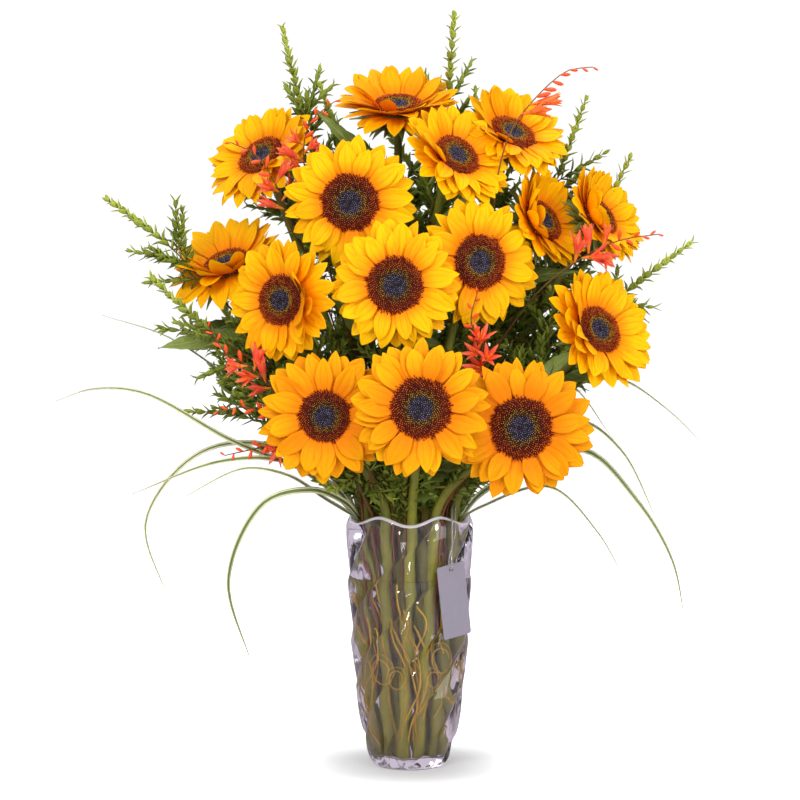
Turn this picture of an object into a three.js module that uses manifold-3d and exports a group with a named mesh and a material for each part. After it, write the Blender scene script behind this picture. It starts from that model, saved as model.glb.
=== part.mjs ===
// Sunflowers in a glass vase, with myrtle, crocosmia and striped grass, and a bare hang tag.
// Millimetres, +Z up. The origin is the middle of the vase's foot, and the front faces -Y.
import * as THREE from 'three';
import { mergeVertices } from 'three/addons/utils/BufferGeometryUtils.js';
import Module from 'manifold-3d';

const wasm = await Module();
wasm.setup();

const TAU = Math.PI * 2;
const DEGREE = Math.PI / 180;
const GAP = 0.3; // air between pieces that touch

// Vase: a glass tumbler that widens upwards, with soft ridges that climb to the right.
const VASE = {
  height: 258,
  footRadius: 36,
  footFlat: 33,
  widening: 28,
  widenHeight: 75,
  wall: 5.5,
  floor: 13,
  ridges: 6,
  ridgeHeight: 1.8,
  ridgeRise: 342, // height that a ridge climbs in one turn
  rimWave: 4,
  rimWaveStart: 198,
  columns: 30,
  outerRows: 13,
  innerRows: 6,
};
const WATER = { level: 195, gap: 0.9, sides: 24, rows: 4, stemGap: 0.4 };

// Stems: straight through the water, drawn together and turned towards the foot.
const STEM = {
  radius: 4.8,
  upperRadius: 4.2,
  sides: 5,
  neck: 258,
  foot: VASE.floor + 1,
  gather: 0.56,
  turn: -17 * DEGREE,
  bendSteps: 5,
};
const THIN_STEM = { radius: 2, foot: 78, sides: 4 };

// The heights in the lists of points below are measured from a plane this far above the vase's foot.
const RAISE = 8;

// Flower heads.
const HEAD = {
  petals: 16,
  petalWidth: 19,
  petalThickness: 1.2,
  layerStep: 1.9,
  plate: 1.2,
  discSides: 12,
  bracts: 8,
  bractLength: 24,
  cupDepth: 15,
  cupRadius: 0.62,
};

// Each head: centre of its disc, the way it faces, disc radius, petal length and stem neck.
// The flare lifts the tips of the upper petals to the front and drops those of the lower ones. The cup lifts all.
const HEADS = [
  { centre: [-12, 40, 670], faces: [0, -0.46, 0.89], disc: 26, petal: 39, flare: 10, cup: 12, neck: [-4, 42] },
  { centre: [-152, 32, 618], faces: [-0.45, -0.62, 0.64], disc: 26, petal: 36, flare: 8, cup: 8, neck: [-38, 24] },
  { centre: [-60, -60, 569], faces: [0, -1, 0.03], disc: 29, petal: 36, flare: 0, cup: 0, neck: [-18, 0] },
  { centre: [46, -30, 616], faces: [0.46, -0.68, 0.57], disc: 25, petal: 35, flare: 4, cup: 10, neck: [10, 24] },
  { centre: [105, 21, 641], faces: [0.36, -0.58, 0.73], disc: 25, petal: 35, flare: 8, cup: 12, neck: [36, 24] },
  { centre: [135, -2, 551], faces: [0.68, -0.58, 0.45], disc: 24, petal: 32, flare: 6, cup: 18, neck: [30, 0] },
  { centre: [195, 23, 556], faces: [0.68, -0.5, 0.53], disc: 23, petal: 33, flare: 8, cup: 16, neck: [50, 0] },
  { centre: [-188, 18, 507], faces: [-0.29, -0.5, 0.81], disc: 25, petal: 38, flare: 14, cup: 8, neck: [-50, 0] },
  { centre: [-126, -82, 472], faces: [-0.5, -0.86, 0.05], disc: 26, petal: 35, flare: 0, cup: 5, neck: [-44, -24] },
  { centre: [-15, -102, 487], faces: [0, -1, 0.05], disc: 28, petal: 35, flare: 0, cup: 0, neck: [-8, -24] },
  { centre: [68, -60, 510], faces: [0.37, -0.93, 0.03], disc: 28, petal: 37, flare: 0, cup: 0, neck: [16, -24] },
  { centre: [188, -50, 441], faces: [0.54, -0.74, 0.4], disc: 26, petal: 37, flare: 4, cup: 12, neck: [44, -24] },
  { centre: [-84, -106, 358], faces: [0, -1, 0.05], disc: 26, petal: 38, flare: 0, cup: 3, neck: [-24, -44] },
  { centre: [10, -138, 368], faces: [0, -1, 0.05], disc: 30, petal: 37, flare: 0, cup: 0, neck: [2, -44] },
  { centre: [109, -108, 347], faces: [0, -1, 0.05], disc: 31, petal: 39, flare: 0, cup: 0, neck: [26, -44] },
];

// Sunflower leaves: the stem they grow from, how far up its bend, where the tip lies, and width.
const LEAVES = [
  { stem: 1, along: 0.75, tip: [-96, 30, 667], width: 34 },
  { stem: 8, along: 0.7, tip: [-258, 0, 422], width: 32 },
  { stem: 7, along: 0.8, tip: [246, 5, 448], width: 26 },
  { stem: 12, along: 0.55, tip: [169, -70, 425], width: 26 },
  { stem: 15, along: 0.6, tip: [150, -50, 418], width: 26 },
  { stem: 4, along: 0.7, tip: [76, -12, 590], width: 26 },
  { stem: 6, along: 0.75, tip: [172, -14, 500], width: 26 },
  { stem: 2, along: 0.65, tip: [-120, 0, 545], width: 26 },
  { stem: 3, along: 0.45, tip: [-98, -30, 502], width: 26 },
  { stem: 1, along: 0.45, tip: [40, 95, 560], width: 40 },
  { stem: 2, along: 0.5, tip: [-120, 95, 470], width: 44 },
  { stem: 5, along: 0.5, tip: [120, 90, 480], width: 44 },
  { stem: 8, along: 0.4, tip: [-150, 75, 380], width: 40 },
  { stem: 7, along: 0.4, tip: [160, 70, 390], width: 40 },
];

// The upper side of a sunflower leaf turns this way, to the front and up.
const LEAF_FACE = new THREE.Vector3(0, -0.75, 0.66);

// Myrtle: leafy stems. Each sprig runs through its points, the last of which is its tip.
const MYRTLE = {
  leafLength: 14,
  leafStep: 13,
  leafRise: 8,
  stemRadius: 1.3,
  sprigLength: 84,
};
const MYRTLE_STEMS = [
  {
    name: 'myrtle_upper_left',
    neck: [-24, 42],
    fork: [-62, 48, 520],
    sprigs: [
      [[-100, 45, 620], [-118, 38, 694], [-131, 35, 750]],
      [[-72, 52, 610], [-80, 52, 655], [-92, 52, 690]],
      [[-110, 70, 560], [-140, 90, 590], [-150, 100, 640]],
    ],
  },
  {
    name: 'myrtle_top',
    neck: [18, 42],
    fork: [30, 52, 560],
    sprigs: [
      [[38, 52, 640], [42, 52, 705], [46, 50, 762]],
      [[60, 70, 600], [72, 85, 640], [70, 95, 690]],
      [[10, 80, 600], [-10, 95, 630], [-30, 105, 660]],
    ],
  },
  {
    name: 'myrtle_right',
    neck: [23, 24],
    fork: [88, 30, 430],
    sprigs: [
      [[130, 40, 530], [158, 42, 610], [181, 34, 676]],
      [[160, 48, 500], [205, 50, 570], [227, 40, 616]],
      [[170, 20, 430], [225, 5, 482], [286, 0, 529]],
      [[120, 70, 460], [150, 95, 490], [170, 105, 540]],
    ],
  },
  {
    name: 'myrtle_left',
    neck: [-32, -8],
    fork: [-120, 0, 395],
    sprigs: [
      [[-190, -5, 470], [-250, 0, 530], [-306, 0, 572]],
      [[-165, -28, 415], [-215, -32, 452], [-260, -30, 493]],
      [[-160, 40, 420], [-190, 70, 450], [-200, 90, 500]],
    ],
  },
  {
    name: 'myrtle_mouth',
    neck: [-26, -24],
    fork: [-48, -38, 300],
    sprigs: [
      [[-75, -60, 330], [-105, -70, 390], [-130, -60, 430]],
      [[-62, -62, 290], [-74, -72, 285], [-90, -80, 292]],
      [[-40, -62, 290], [-42, -70, 330], [-40, -78, 380]],
    ],
  },
];

// Crocosmia: arching stems with trumpet flowers low down and buds that shrink to the tip.
const CROCOSMIA = { flower: 27, mouth: 7.5, tepals: 5, stemRadius: 1.3, buds: 3, budLength: 12, headLength: 90 };
const CROCOSMIA_STEMS = [
  {
    name: 'crocosmia_upper_left',
    neck: [-14, 24],
    fork: [-74, 0, 470],
    sprays: [
      { route: [[-96, -8, 560], [-108, -14, 620], [-100, -20, 652], [-76, -24, 672]], flowers: 4 },
      { route: [[-118, -28, 540], [-136, -38, 590], [-156, -40, 618], [-180, -38, 630]], flowers: 3 },
    ],
  },
  {
    name: 'crocosmia_right',
    neck: [30, -24],
    fork: [72, -14, 400],
    sprays: [
      { route: [[90, -30, 604], [104, -38, 646], [122, -38, 670], [145, -32, 693], [160, -30, 703], [184, -30, 706]], flowers: 3 },
      { route: [[130, -30, 480], [176, -38, 516], [212, -38, 532], [250, -36, 538]], flowers: 4 },
      { route: [[78, -60, 400], [66, -84, 430], [60, -98, 455], [66, -100, 480]], flowers: 3 },
    ],
  },
  {
    name: 'crocosmia_left',
    neck: [-36, -34],
    fork: [-85, -62, 335],
    sprays: [
      { route: [[-141, -75, 388], [-165, -80, 410], [-181, -82, 418], [-200, -82, 446]], flowers: 4 },
      { route: [[-145, -82, 361], [-167, -85, 366], [-190, -88, 362]], flowers: 3 },
      { route: [[-130, -78, 332], [-149, -80, 326], [-184, -82, 318]], flowers: 2 },
    ],
  },
];

// Striped grass: long arching blades, from one tuft on each side of the vase.
const GRASS = { width: 7, thickness: 1, steps: 9, tuftRadius: 2.2 };
const GRASS_TUFTS = [
  {
    name: 'grass_left',
    neck: [-51, -12],
    blades: [
      { route: [[-80, -30, 285], [-180, -60, 332], [-267, -60, 379], [-318, -60, 383], [-355, -60, 371]], width: 6 },
      { route: [[-90, -60, 290], [-129, -78, 313], [-190, -84, 312], [-276, -84, 280]], width: 6 },
      { route: [[-85, -50, 272], [-123, -92, 300], [-165, -96, 306], [-227, -92, 276]], width: 4 },
      { route: [[-80, 0, 290], [-157, -20, 326], [-218, -30, 314], [-268, -34, 247], [-243, -40, 164]], width: 6 },
      { route: [[-66, -46, 268], [-100, -85, 284], [-145, -96, 272], [-180, -96, 197], [-156, -96, 108]], width: 7 },
      { route: [[-80, 20, 300], [-188, 20, 392], [-250, 10, 434], [-315, 0, 456]], width: 3 },
    ],
  },
  {
    name: 'grass_right',
    neck: [51, -10],
    blades: [
      { route: [[75, -5, 275], [174, -30, 320], [228, -48, 271], [264, -56, 210], [277, -60, 148]], width: 7 },
      { route: [[76, 10, 290], [170, -5, 348], [214, -30, 320], [252, -40, 245]], width: 5 },
      { route: [[80, 25, 300], [166, 20, 380], [213, 0, 391], [263, -10, 360], [301, -20, 323]], width: 4 },
      { route: [[72, -32, 262], [140, -60, 285], [187, -62, 241], [220, -60, 184]], width: 3 },
      { route: [[70, 45, 300], [120, 90, 370], [170, 110, 380], [220, 120, 320]], width: 5 },
    ],
  },
];

// Curly twigs that wind between the stems and the glass.
const TWIG = { radius: 1.3, from: 70, to: 208, clearance: 3.6, turns: 0.9, steps: 12, sway: 0.35 };

// Hang tag: a bare card on a cord that goes over the rim.
const TAG = {
  width: 31,
  height: 78,
  thickness: 1.2,
  corner: 2.4,
  hole: 2.4,
  holeDrop: 5.5,
  centre: [44.4, -52.3, 169],
  turn: 27 * DEGREE,
  lean: 10 * DEGREE,
  roll: -11.5 * DEGREE,
};
const CORD = { radius: 0.85, sides: 8, steps: 44, bend: 3.2, slack: 0.8 };

const FINISH = {
  petal: { color: 0xfcbf0c, roughness: 0.55 },
  disc: { color: 0x4a1a0e, roughness: 0.9 },
  green: { color: 0x6d7c33, roughness: 0.6 },
  myrtle: { color: 0x6f8a2e, roughness: 0.55 },
  crocosmia: { color: 0xf6523e, roughness: 0.5 },
  grass: { color: 0x9ca36a, roughness: 0.5 },
  twig: { color: 0x8a5a26, roughness: 0.7 },
  glass: { color: 0xd9d3e0, roughness: 0.05, transparent: true, opacity: 0.35 },
  water: { color: 0xdfe4dc, roughness: 0.02, transparent: true, opacity: 0.3 },
  tag: { color: 0x8e8794, roughness: 0.5 },
  cord: { color: 0xb9b7ba, roughness: 0.4, metalness: 0.5 },
};

const bouquet = new THREE.Group();
const placed = []; // solids that later pieces keep clear of

const point = ([x, y, z]) => new THREE.Vector3(x, y, z + RAISE);
const mix = THREE.MathUtils.lerp;
const smooth = THREE.MathUtils.smoothstep;

// ---------------------------------------------------------------- solids

// A closed surface from points and triangles, turned so that its faces point out.
function surface(points, triangles) {
  let volume = 0;
  for (const [a, b, c] of triangles) {
    volume += points[a].dot(new THREE.Vector3().crossVectors(points[b], points[c]));
  }
  const ordered = volume < 0 ? triangles.map(([a, b, c]) => [a, c, b]) : triangles;
  const geometry = new THREE.BufferGeometry().setFromPoints(points);
  geometry.setIndex(ordered.flat());
  return geometry;
}

// Triangles between two rings of points. The two faces of a thin ring are split alike.
function bridge(triangles, from, fromCount, to, toCount) {
  const count = Math.max(fromCount, toCount);
  for (let i = 0; i < count; i += 1) {
    const next = (i + 1) % count;
    if (fromCount === 1) {
      triangles.push([from, to + next, to + i]);
    } else if (toCount === 1) {
      triangles.push([from + i, from + next, to]);
    } else if (i < count / 2) {
      triangles.push([from + i, from + next, to + next], [from + i, to + next, to + i]);
    } else {
      triangles.push([from + i, from + next, to + i], [from + next, to + next, to + i]);
    }
  }
}

// A closed body through rings of points, each with the same count or a single point.
function loft(rings) {
  const points = rings.flat();
  const triangles = [];
  let start = 0;
  for (let i = 0; i + 1 < rings.length; i += 1) {
    bridge(triangles, start, rings[i].length, start + rings[i].length, rings[i + 1].length);
    start += rings[i].length;
  }
  for (let j = 1; j + 1 < rings[0].length; j += 1) {
    triangles.push([0, j + 1, j]);
  }
  for (let j = 1; j + 1 < rings.at(-1).length; j += 1) {
    triangles.push([start, start + j, start + j + 1]);
  }
  return surface(points, triangles);
}

function toSolid(geometry) {
  const bare = geometry.clone();
  bare.deleteAttribute('normal');
  bare.deleteAttribute('uv');
  const merged = mergeVertices(bare, 1e-3);
  return new wasm.Manifold(new wasm.Mesh({
    numProp: 3,
    vertProperties: Float32Array.from(merged.attributes.position.array),
    triVerts: Uint32Array.from(merged.index.array),
  }));
}

function toGeometry(solid) {
  const mesh = solid.getMesh();
  const geometry = new THREE.BufferGeometry();
  geometry.setAttribute('position', new THREE.BufferAttribute(mesh.vertProperties, mesh.numProp));
  geometry.setIndex(new THREE.BufferAttribute(mesh.triVerts, 1));
  geometry.computeVertexNormals();
  return geometry;
}

// Joins solids into one body and drops any scrap that doesn't hold to it.
function fuse(solids) {
  const joined = solids.slice(1).reduce((body, solid) => body.add(solid), solids[0]);
  const bodies = joined.simplify(0.01).decompose();
  return bodies.sort((a, b) => b.volume() - a.volume())[0];
}

function boxesMeet(a, b) {
  return a.min.every((low, i) => low <= b.max[i] + GAP && b.min[i] <= a.max[i] + GAP);
}

// True where a solid keeps the gap to every placed solid, apart from those of its own node.
function isClear(solid, own = '') {
  const box = solid.boundingBox();
  return placed.every((other) => other.name === own || !boxesMeet(box, other.box)
    || solid.minGap(other.solid, GAP) >= GAP);
}

function place(name, solid) {
  placed.push({ name, solid, box: solid.boundingBox() });
}

function add(name, solid, finish) {
  const mesh = new THREE.Mesh(toGeometry(solid), new THREE.MeshStandardMaterial(FINISH[finish]));
  mesh.name = name;
  bouquet.add(mesh);
}

// ---------------------------------------------------------------- routes

// Rings of points square to a route, turned as little as possible from one to the next.
function sections(points, radii, sides) {
  const rings = [];
  const normal = new THREE.Vector3(0.3, 1, 0.2);
  points.forEach((centre, i) => {
    const along = points[Math.min(i + 1, points.length - 1)].clone().sub(points[Math.max(i - 1, 0)]);
    along.normalize();
    normal.addScaledVector(along, -normal.dot(along)).normalize();
    const side = new THREE.Vector3().crossVectors(along, normal);
    const ring = [];
    for (let j = 0; j < sides; j += 1) {
      const angle = TAU * j / sides;
      ring.push(centre.clone()
        .addScaledVector(normal, Math.cos(angle) * radii[i])
        .addScaledVector(side, Math.sin(angle) * radii[i]));
    }
    rings.push(ring);
  });
  return rings;
}

function tube(points, radius, sides, tipRadius = radius) {
  const radii = points.map((_, i) => mix(radius, tipRadius, i / (points.length - 1)));
  return loft(sections(points, radii, sides));
}

function spread(points, steps) {
  return new THREE.CatmullRomCurve3(points, false, 'centripetal').getSpacedPoints(steps);
}

// Where a stem that passes the vase's mouth at its neck stands in the water, at some height.
function inVase([x, y], height) {
  const neck = new THREE.Vector3(x, y, STEM.neck);
  const foot = new THREE.Vector3(x, y, 0).applyAxisAngle(new THREE.Vector3(0, 0, 1), STEM.turn);
  foot.multiplyScalar(STEM.gather).setZ(STEM.foot);
  return foot.lerp(neck, (height - STEM.foot) / (STEM.neck - STEM.foot));
}

function random(seed) {
  let state = seed;
  return () => {
    state = (state * 1664525 + 1013904223) % 4294967296;
    return state / 4294967296;
  };
}

// ---------------------------------------------------------------- vase and water

function vaseRadius(height) {
  return VASE.footRadius + VASE.widening * (1 - Math.exp(-height / VASE.widenHeight));
}

function vaseSolid() {
  const outer = [[VASE.footFlat, 0], [VASE.footRadius - 0.8, 1.6]];
  for (let row = 1; row <= VASE.outerRows; row += 1) {
    const height = VASE.height * row / VASE.outerRows;
    outer.push([vaseRadius(height), height]);
  }
  const inner = [];
  for (let row = VASE.innerRows; row >= 0; row -= 1) {
    const height = mix(VASE.floor, VASE.height, row / VASE.innerRows);
    inner.push([vaseRadius(height) - VASE.wall, height]);
  }
  const profile = [[0, 0], ...outer, ...inner, [0, VASE.floor]];
  const geometry = new THREE.LatheGeometry(profile.map(([r, z]) => new THREE.Vector2(r, z)), VASE.columns);
  const position = geometry.attributes.position;
  for (let i = 0; i < position.count; i += 1) {
    const [radius, height] = profile[i % profile.length];
    const row = i % profile.length;
    const column = Math.floor(i / profile.length) % VASE.columns;
    const outside = row > 1 && row <= outer.length;
    const turned = (outside ? height : VASE.height) / VASE.ridgeRise;
    const angle = TAU * (column / VASE.columns + turned);
    const swell = outside ? VASE.ridgeHeight * Math.cos(VASE.ridges * TAU * column / VASE.columns) : 0;
    const wave = VASE.rimWave * Math.cos(VASE.ridges * angle) * smooth(height, VASE.rimWaveStart, VASE.height);
    const reach = radius === 0 ? 0 : radius + swell * smooth(height, 0, 20);
    position.setXYZ(i, Math.cos(angle) * reach, Math.sin(angle) * reach, height + wave);
  }
  return toSolid(geometry);
}

function waterSolid(cutters) {
  const bottom = VASE.floor + GAP * 2;
  const profile = [[0, bottom]];
  for (let row = 0; row <= WATER.rows; row += 1) {
    const height = mix(bottom, WATER.level, (row / WATER.rows) ** 1.3);
    profile.push([vaseRadius(height) - VASE.wall - WATER.gap, height]);
  }
  profile.push([0, WATER.level]);
  const geometry = new THREE.LatheGeometry(profile.map(([r, z]) => new THREE.Vector2(r, z)), WATER.sides);
  geometry.rotateX(Math.PI / 2);
  return fuse([cutters.reduce((body, cutter) => body.subtract(cutter), toSolid(geometry))]);
}

// ---------------------------------------------------------------- flower heads

// Right, up and out of a flower head, seen from its front.
function frameOf({ centre, faces }) {
  const out = new THREE.Vector3(...faces).normalize();
  const right = new THREE.Vector3(0, 0, 1).cross(out).normalize();
  const up = new THREE.Vector3().crossVectors(out, right);
  return { centre: point(centre), right, up, out };
}

// A point of a head: reach from its axis at an angle, a step to the side, and a lift to the front.
function onHead({ centre, right, up, out }, angle, reach, side, lift) {
  const across = Math.cos(angle) * reach - Math.sin(angle) * side;
  const above = Math.sin(angle) * reach + Math.cos(angle) * side;
  return centre.clone()
    .addScaledVector(right, across)
    .addScaledVector(up, above)
    .addScaledVector(out, lift);
}

// The thin sections of a blade, each a right, ridge and left point, and its tip.
function bladeRings(frame, angle, blade) {
  const rings = blade.stations.map(({ reach, half, lift }) => [
    onHead(frame, angle, reach, half, lift),
    onHead(frame, angle, reach, 0, lift + blade.thickness),
    onHead(frame, angle, reach, -half, lift),
  ]);
  rings.push([onHead(frame, angle, blade.tip.reach, 0, blade.tip.lift)]);
  return rings;
}

// Blades round a plate, all one surface. The plate's back may be a cup with a round bottom.
function rosette(frame, { radius, front, back, cupDepth }, blades) {
  const count = blades.length;
  const points = [];
  const triangles = [];
  const keep = (position) => points.push(position) - 1;
  const corners = blades.map((_, k) => {
    const angle = TAU * (k - 0.5) / count;
    return [keep(onHead(frame, angle, radius, 0, front)), keep(onHead(frame, angle, radius, 0, back))];
  });
  const frontMiddle = keep(onHead(frame, 0, 0, 0, front));
  const backMiddle = keep(onHead(frame, 0, 0, 0, back - cupDepth));
  const cup = cupDepth === 0 ? null : blades.map((_, k) => keep(
    onHead(frame, TAU * (k - 0.5) / count, radius * HEAD.cupRadius, 0, back - cupDepth * 0.8),
  ));
  blades.forEach((blade, k) => {
    const next = (k + 1) % count;
    const [frontA, backA] = corners[k];
    const [frontB, backB] = corners[next];
    triangles.push([frontMiddle, frontA, frontB]);
    if (cup) {
      triangles.push([backB, backA, cup[k]], [backB, cup[k], cup[next]]);
      triangles.push([backMiddle, cup[next], cup[k]]);
    } else {
      triangles.push([backMiddle, backB, backA]);
    }
    const rings = bladeRings(frame, TAU * k / count, blade);
    const starts = rings.map((ring) => ring.map(keep)[0]);
    const [right, ridge, left] = [0, 1, 2].map((i) => starts[0] + i);
    triangles.push([frontA, left, ridge], [frontA, ridge, frontB], [frontB, ridge, right]);
    triangles.push([backA, backB, right], [backA, right, left]);
    triangles.push([left, frontA, backA], [frontB, right, backB]);
    const strip = [];
    for (let i = 0; i + 1 < rings.length; i += 1) {
      bridge(strip, starts[i], rings[i].length, starts[i + 1], rings[i + 1].length);
    }
    triangles.push(...strip);
  });
  return toSolid(surface(points, triangles));
}

// A petal of the front or the back layer, bent away from the other layer by a lift at its tip.
function petalBlade({ disc, petal }, layer, bend, size) {
  const length = petal * 1.05 * size * (layer > 0 ? 0.92 : 1);
  const half = HEAD.petalWidth / 2;
  const offset = layer * HEAD.layerStep;
  return {
    thickness: HEAD.petalThickness,
    stations: [
      { reach: disc + length * 0.3, half: half * 0.86, lift: offset + bend * 0.1 },
      { reach: disc + length * 0.68, half: half * 0.84, lift: offset + bend * 0.45 },
    ],
    tip: { reach: disc + length, lift: offset * 0.6 + bend },
  };
}

const BENDS = [0, 3, 7, 12, 18, 26, 34];
const SIZES = [1, 0.86, 0.72, 0.58, 0.45];

// The fullest petal that stays clear of what is placed, bent a little if it has to be.
function clearPetal(head, frame, k, draw) {
  const layer = k % 2 === 0 ? 1 : -1;
  const angle = TAU * k / HEAD.petals;
  const natural = layer * (1 + 3 * draw()) + head.cup + head.flare * Math.sin(angle);
  for (const size of SIZES) {
    for (const bend of BENDS) {
      const blade = petalBlade(head, layer, natural + layer * bend, size);
      if (isClear(toSolid(loft(bladeRings(frame, angle, blade))))) {
        return blade;
      }
    }
  }
  return petalBlade(head, layer, natural, SIZES.at(-1) * 0.5);
}

// The seed disc: a low dome with a sunken middle, its surface raised and lowered by turns.
function discSolid(frame, radius) {
  const bottom = HEAD.plate / 2 + GAP;
  const ring = (share, lift, relief, turned) => {
    const points = [];
    for (let j = 0; j < HEAD.discSides; j += 1) {
      const angle = TAU * (j + turned) / HEAD.discSides;
      points.push(onHead(frame, angle, radius * share, 0, bottom + lift + (j % 2 ? relief : -relief)));
    }
    return points;
  };
  return toSolid(loft([
    [onHead(frame, 0, 0, 0, bottom)],
    ring(0.95, 0, 0, 0),
    ring(1, 2.6, 0.6, 0),
    ring(0.7, 5, 0.6, 0.5),
    ring(0.38, 3.6, 0.5, 0),
    [onHead(frame, 0, 0, 0, bottom + 2.6)],
  ]));
}

// The stem's way from the vase's floor to the back of its head.
function stemRoute(head, frame) {
  const foot = inVase(head.neck, STEM.foot);
  const collar = inVase(head.neck, STEM.neck);
  const rise = collar.clone().sub(foot).normalize();
  const top = frame.centre.clone().addScaledVector(frame.out, -HEAD.cupDepth * 0.5);
  const reach = collar.distanceTo(top);
  return new THREE.CubicBezierCurve3(
    collar,
    collar.clone().addScaledVector(rise, reach * 0.35),
    top.clone().addScaledVector(frame.out, -reach * 0.22).add(new THREE.Vector3(0, 0, -reach * 0.15)),
    top,
  );
}

function stemTube(head, bend, extra) {
  const points = [inVase(head.neck, STEM.foot), ...bend.getPoints(STEM.bendSteps)];
  return toSolid(tube(points, STEM.radius + extra, STEM.sides, STEM.upperRadius + extra));
}

// A bract behind the petals. Where the petals drop, it drops with them.
function bractBlade({ disc, flare }, k) {
  const length = HEAD.bractLength * (k % 2 ? 0.85 : 1);
  const drop = Math.min(0, flare * Math.sin(TAU * k / HEAD.bracts)) - (k % 2);
  return {
    thickness: 0.8,
    stations: [{ reach: disc + length * 0.35, half: 5.5, lift: drop * 0.3 - 6.5 }],
    tip: { reach: disc + length, lift: drop * 0.6 - 10 },
  };
}

// A leaf: a stalk and a blade with a waved, toothed edge and a drooping tip.
function leafSolid(root, tip, width) {
  const reach = tip.clone().sub(root);
  const length = reach.length();
  const side = new THREE.Vector3().crossVectors(reach, LEAF_FACE).normalize();
  const face = new THREE.Vector3().crossVectors(side, reach).normalize();
  const shape = [[0, 0.1, 0], [0.22, 0.14, 0.05], [0.36, 0.86, 0.08], [0.5, 1, 0.1], [0.66, 0.72, 0.1], [0.84, 0.36, 0.06]];
  const rings = shape.map(([along, wide, arch]) => {
    const centre = root.clone().addScaledVector(reach, along).addScaledVector(face, arch * length);
    const half = side.clone().multiplyScalar(width * wide / 2);
    return [
      centre.clone().sub(half).addScaledVector(face, 3 * wide),
      centre.clone().addScaledVector(face, 1),
      centre.clone().add(half).addScaledVector(face, 3 * wide),
      centre.clone().addScaledVector(face, -0.8),
    ];
  });
  return toSolid(loft([...rings, [tip]]));
}

function leavesOf(number, bend) {
  const leaves = [];
  for (const leaf of LEAVES.filter(({ stem }) => stem === number)) {
    const root = bend.getPoint(leaf.along);
    for (let turn = 0; turn < 12; turn += 1) {
      const tip = point(leaf.tip);
      tip.add(new THREE.Vector3(0, 4 * turn * (turn % 2 ? 1 : -1), -2 * turn));
      const solid = leafSolid(root, tip, leaf.width * (1 - turn * 0.04));
      if (isClear(solid, stemName(number))) {
        leaves.push(solid);
        break;
      }
    }
  }
  return leaves;
}

const numbered = (number) => String(number).padStart(2, '0');
const stemName = (number) => `sunflower_${numbered(number)}_stem`;

// ---------------------------------------------------------------- leafy and flowering stems

// A leafy sprig: a slim stem whose surface is drawn out into pairs of leaves, each pair turned
// a quarter from the last. Its lower part is bare.
function leafySprig(points) {
  const curve = new THREE.CatmullRomCurve3(points, false, 'centripetal');
  const bare = Math.max(0.05, 1 - MYRTLE.sprigLength / curve.getLength());
  const pairs = Math.floor(curve.getLength() * (1 - bare) / MYRTLE.leafStep);
  const shares = [0, bare * 0.35, bare * 0.7];
  for (let i = 0; i <= pairs * 2; i += 1) {
    shares.push(mix(bare, 1, i / (pairs * 2)));
  }
  const centres = shares.map((share) => curve.getPointAt(share));
  const radii = shares.map((share) => mix(MYRTLE.stemRadius, 0.8, share));
  const rings = sections(centres, radii, 4);
  for (let k = 0; k < pairs; k += 1) {
    const i = 4 + 2 * k;
    const along = centres[i + 1].clone().sub(centres[i - 1]).normalize();
    const size = mix(1, 0.6, k / pairs);
    for (const j of [k % 2, k % 2 + 2]) {
      const outward = rings[i][j].clone().sub(centres[i]).normalize();
      rings[i][j].addScaledVector(outward, MYRTLE.leafLength * size * 0.8);
      rings[i][j].addScaledVector(along, MYRTLE.leafRise * size);
    }
  }
  rings[rings.length - 1] = [centres.at(-1)];
  return toSolid(loft(rings));
}

// Tries a route as it is, then with its middle moved aside, until what it carries is clear.
function firstClear(points, build, own, seed, tries = 40) {
  const draw = random(seed);
  for (let turn = 0; turn < tries; turn += 1) {
    const shift = turn * 1.6;
    const moved = points.map((at, i) => {
      if (i === 0) {
        return at;
      }
      const push = new THREE.Vector3(draw() - 0.5, draw() - 0.5, draw() - 0.5);
      return at.clone().addScaledVector(push, shift * (i === points.length - 1 ? 0.35 : 1));
    });
    const solid = build(moved);
    if (isClear(solid, own)) {
      return { solid, route: moved };
    }
  }
  return null;
}

// A thin stem from the water, through the vase's mouth, to the point where its branches part.
function trunk(neck, fork, own, seed, radius) {
  const low = inVase(neck, THIN_STEM.foot);
  const mouth = inVase(neck, STEM.neck);
  const build = ([, ...rest]) => {
    const bend = spread([mouth, ...rest], 5);
    return toSolid(tube([low, ...bend], radius, THIN_STEM.sides));
  };
  const middle = mouth.clone().lerp(point(fork), 0.45).setZ(mix(mouth.z, fork[2] + RAISE, 0.55));
  return firstClear([mouth, middle, point(fork)], build, own, seed);
}

function branchingStem(name, { neck, fork }, branches, finish, seed) {
  const main = trunk(neck, fork, name, seed, THIN_STEM.radius);
  if (!main) {
    return;
  }
  place(name, main.solid);
  const solids = [main.solid];
  const parting = main.route.at(-1);
  branches.forEach(({ route, build }, i) => {
    const branch = firstClear([parting, ...route.map(point)], build, name, seed + 17 * (i + 1));
    if (branch) {
      place(name, branch.solid);
      solids.push(branch.solid);
    }
  });
  add(name, fuse(solids), finish);
}

// A trumpet flower: a slim tube that opens into pointed tepals.
function trumpet(root, mouth, radius) {
  const along = mouth.clone().sub(root).normalize();
  const [ring] = sections([root, mouth], [radius, radius], CROCOSMIA.tepals * 2).slice(1);
  const throat = mouth.clone().addScaledVector(along, -radius * 0.7);
  const lips = ring.map((at, j) => (j % 2
    ? at.clone().lerp(mouth, 0.62).addScaledVector(along, -radius * 0.5)
    : at.clone().addScaledVector(along, radius * 0.2)));
  return toSolid(loft([[root], lips, [throat]]));
}

function bud(root, tip, radius) {
  const [ring] = sections([root, root.clone().lerp(tip, 0.6), tip], [radius, radius, radius], 3).slice(1);
  return toSolid(loft([[root], ring, [tip]]));
}

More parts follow.
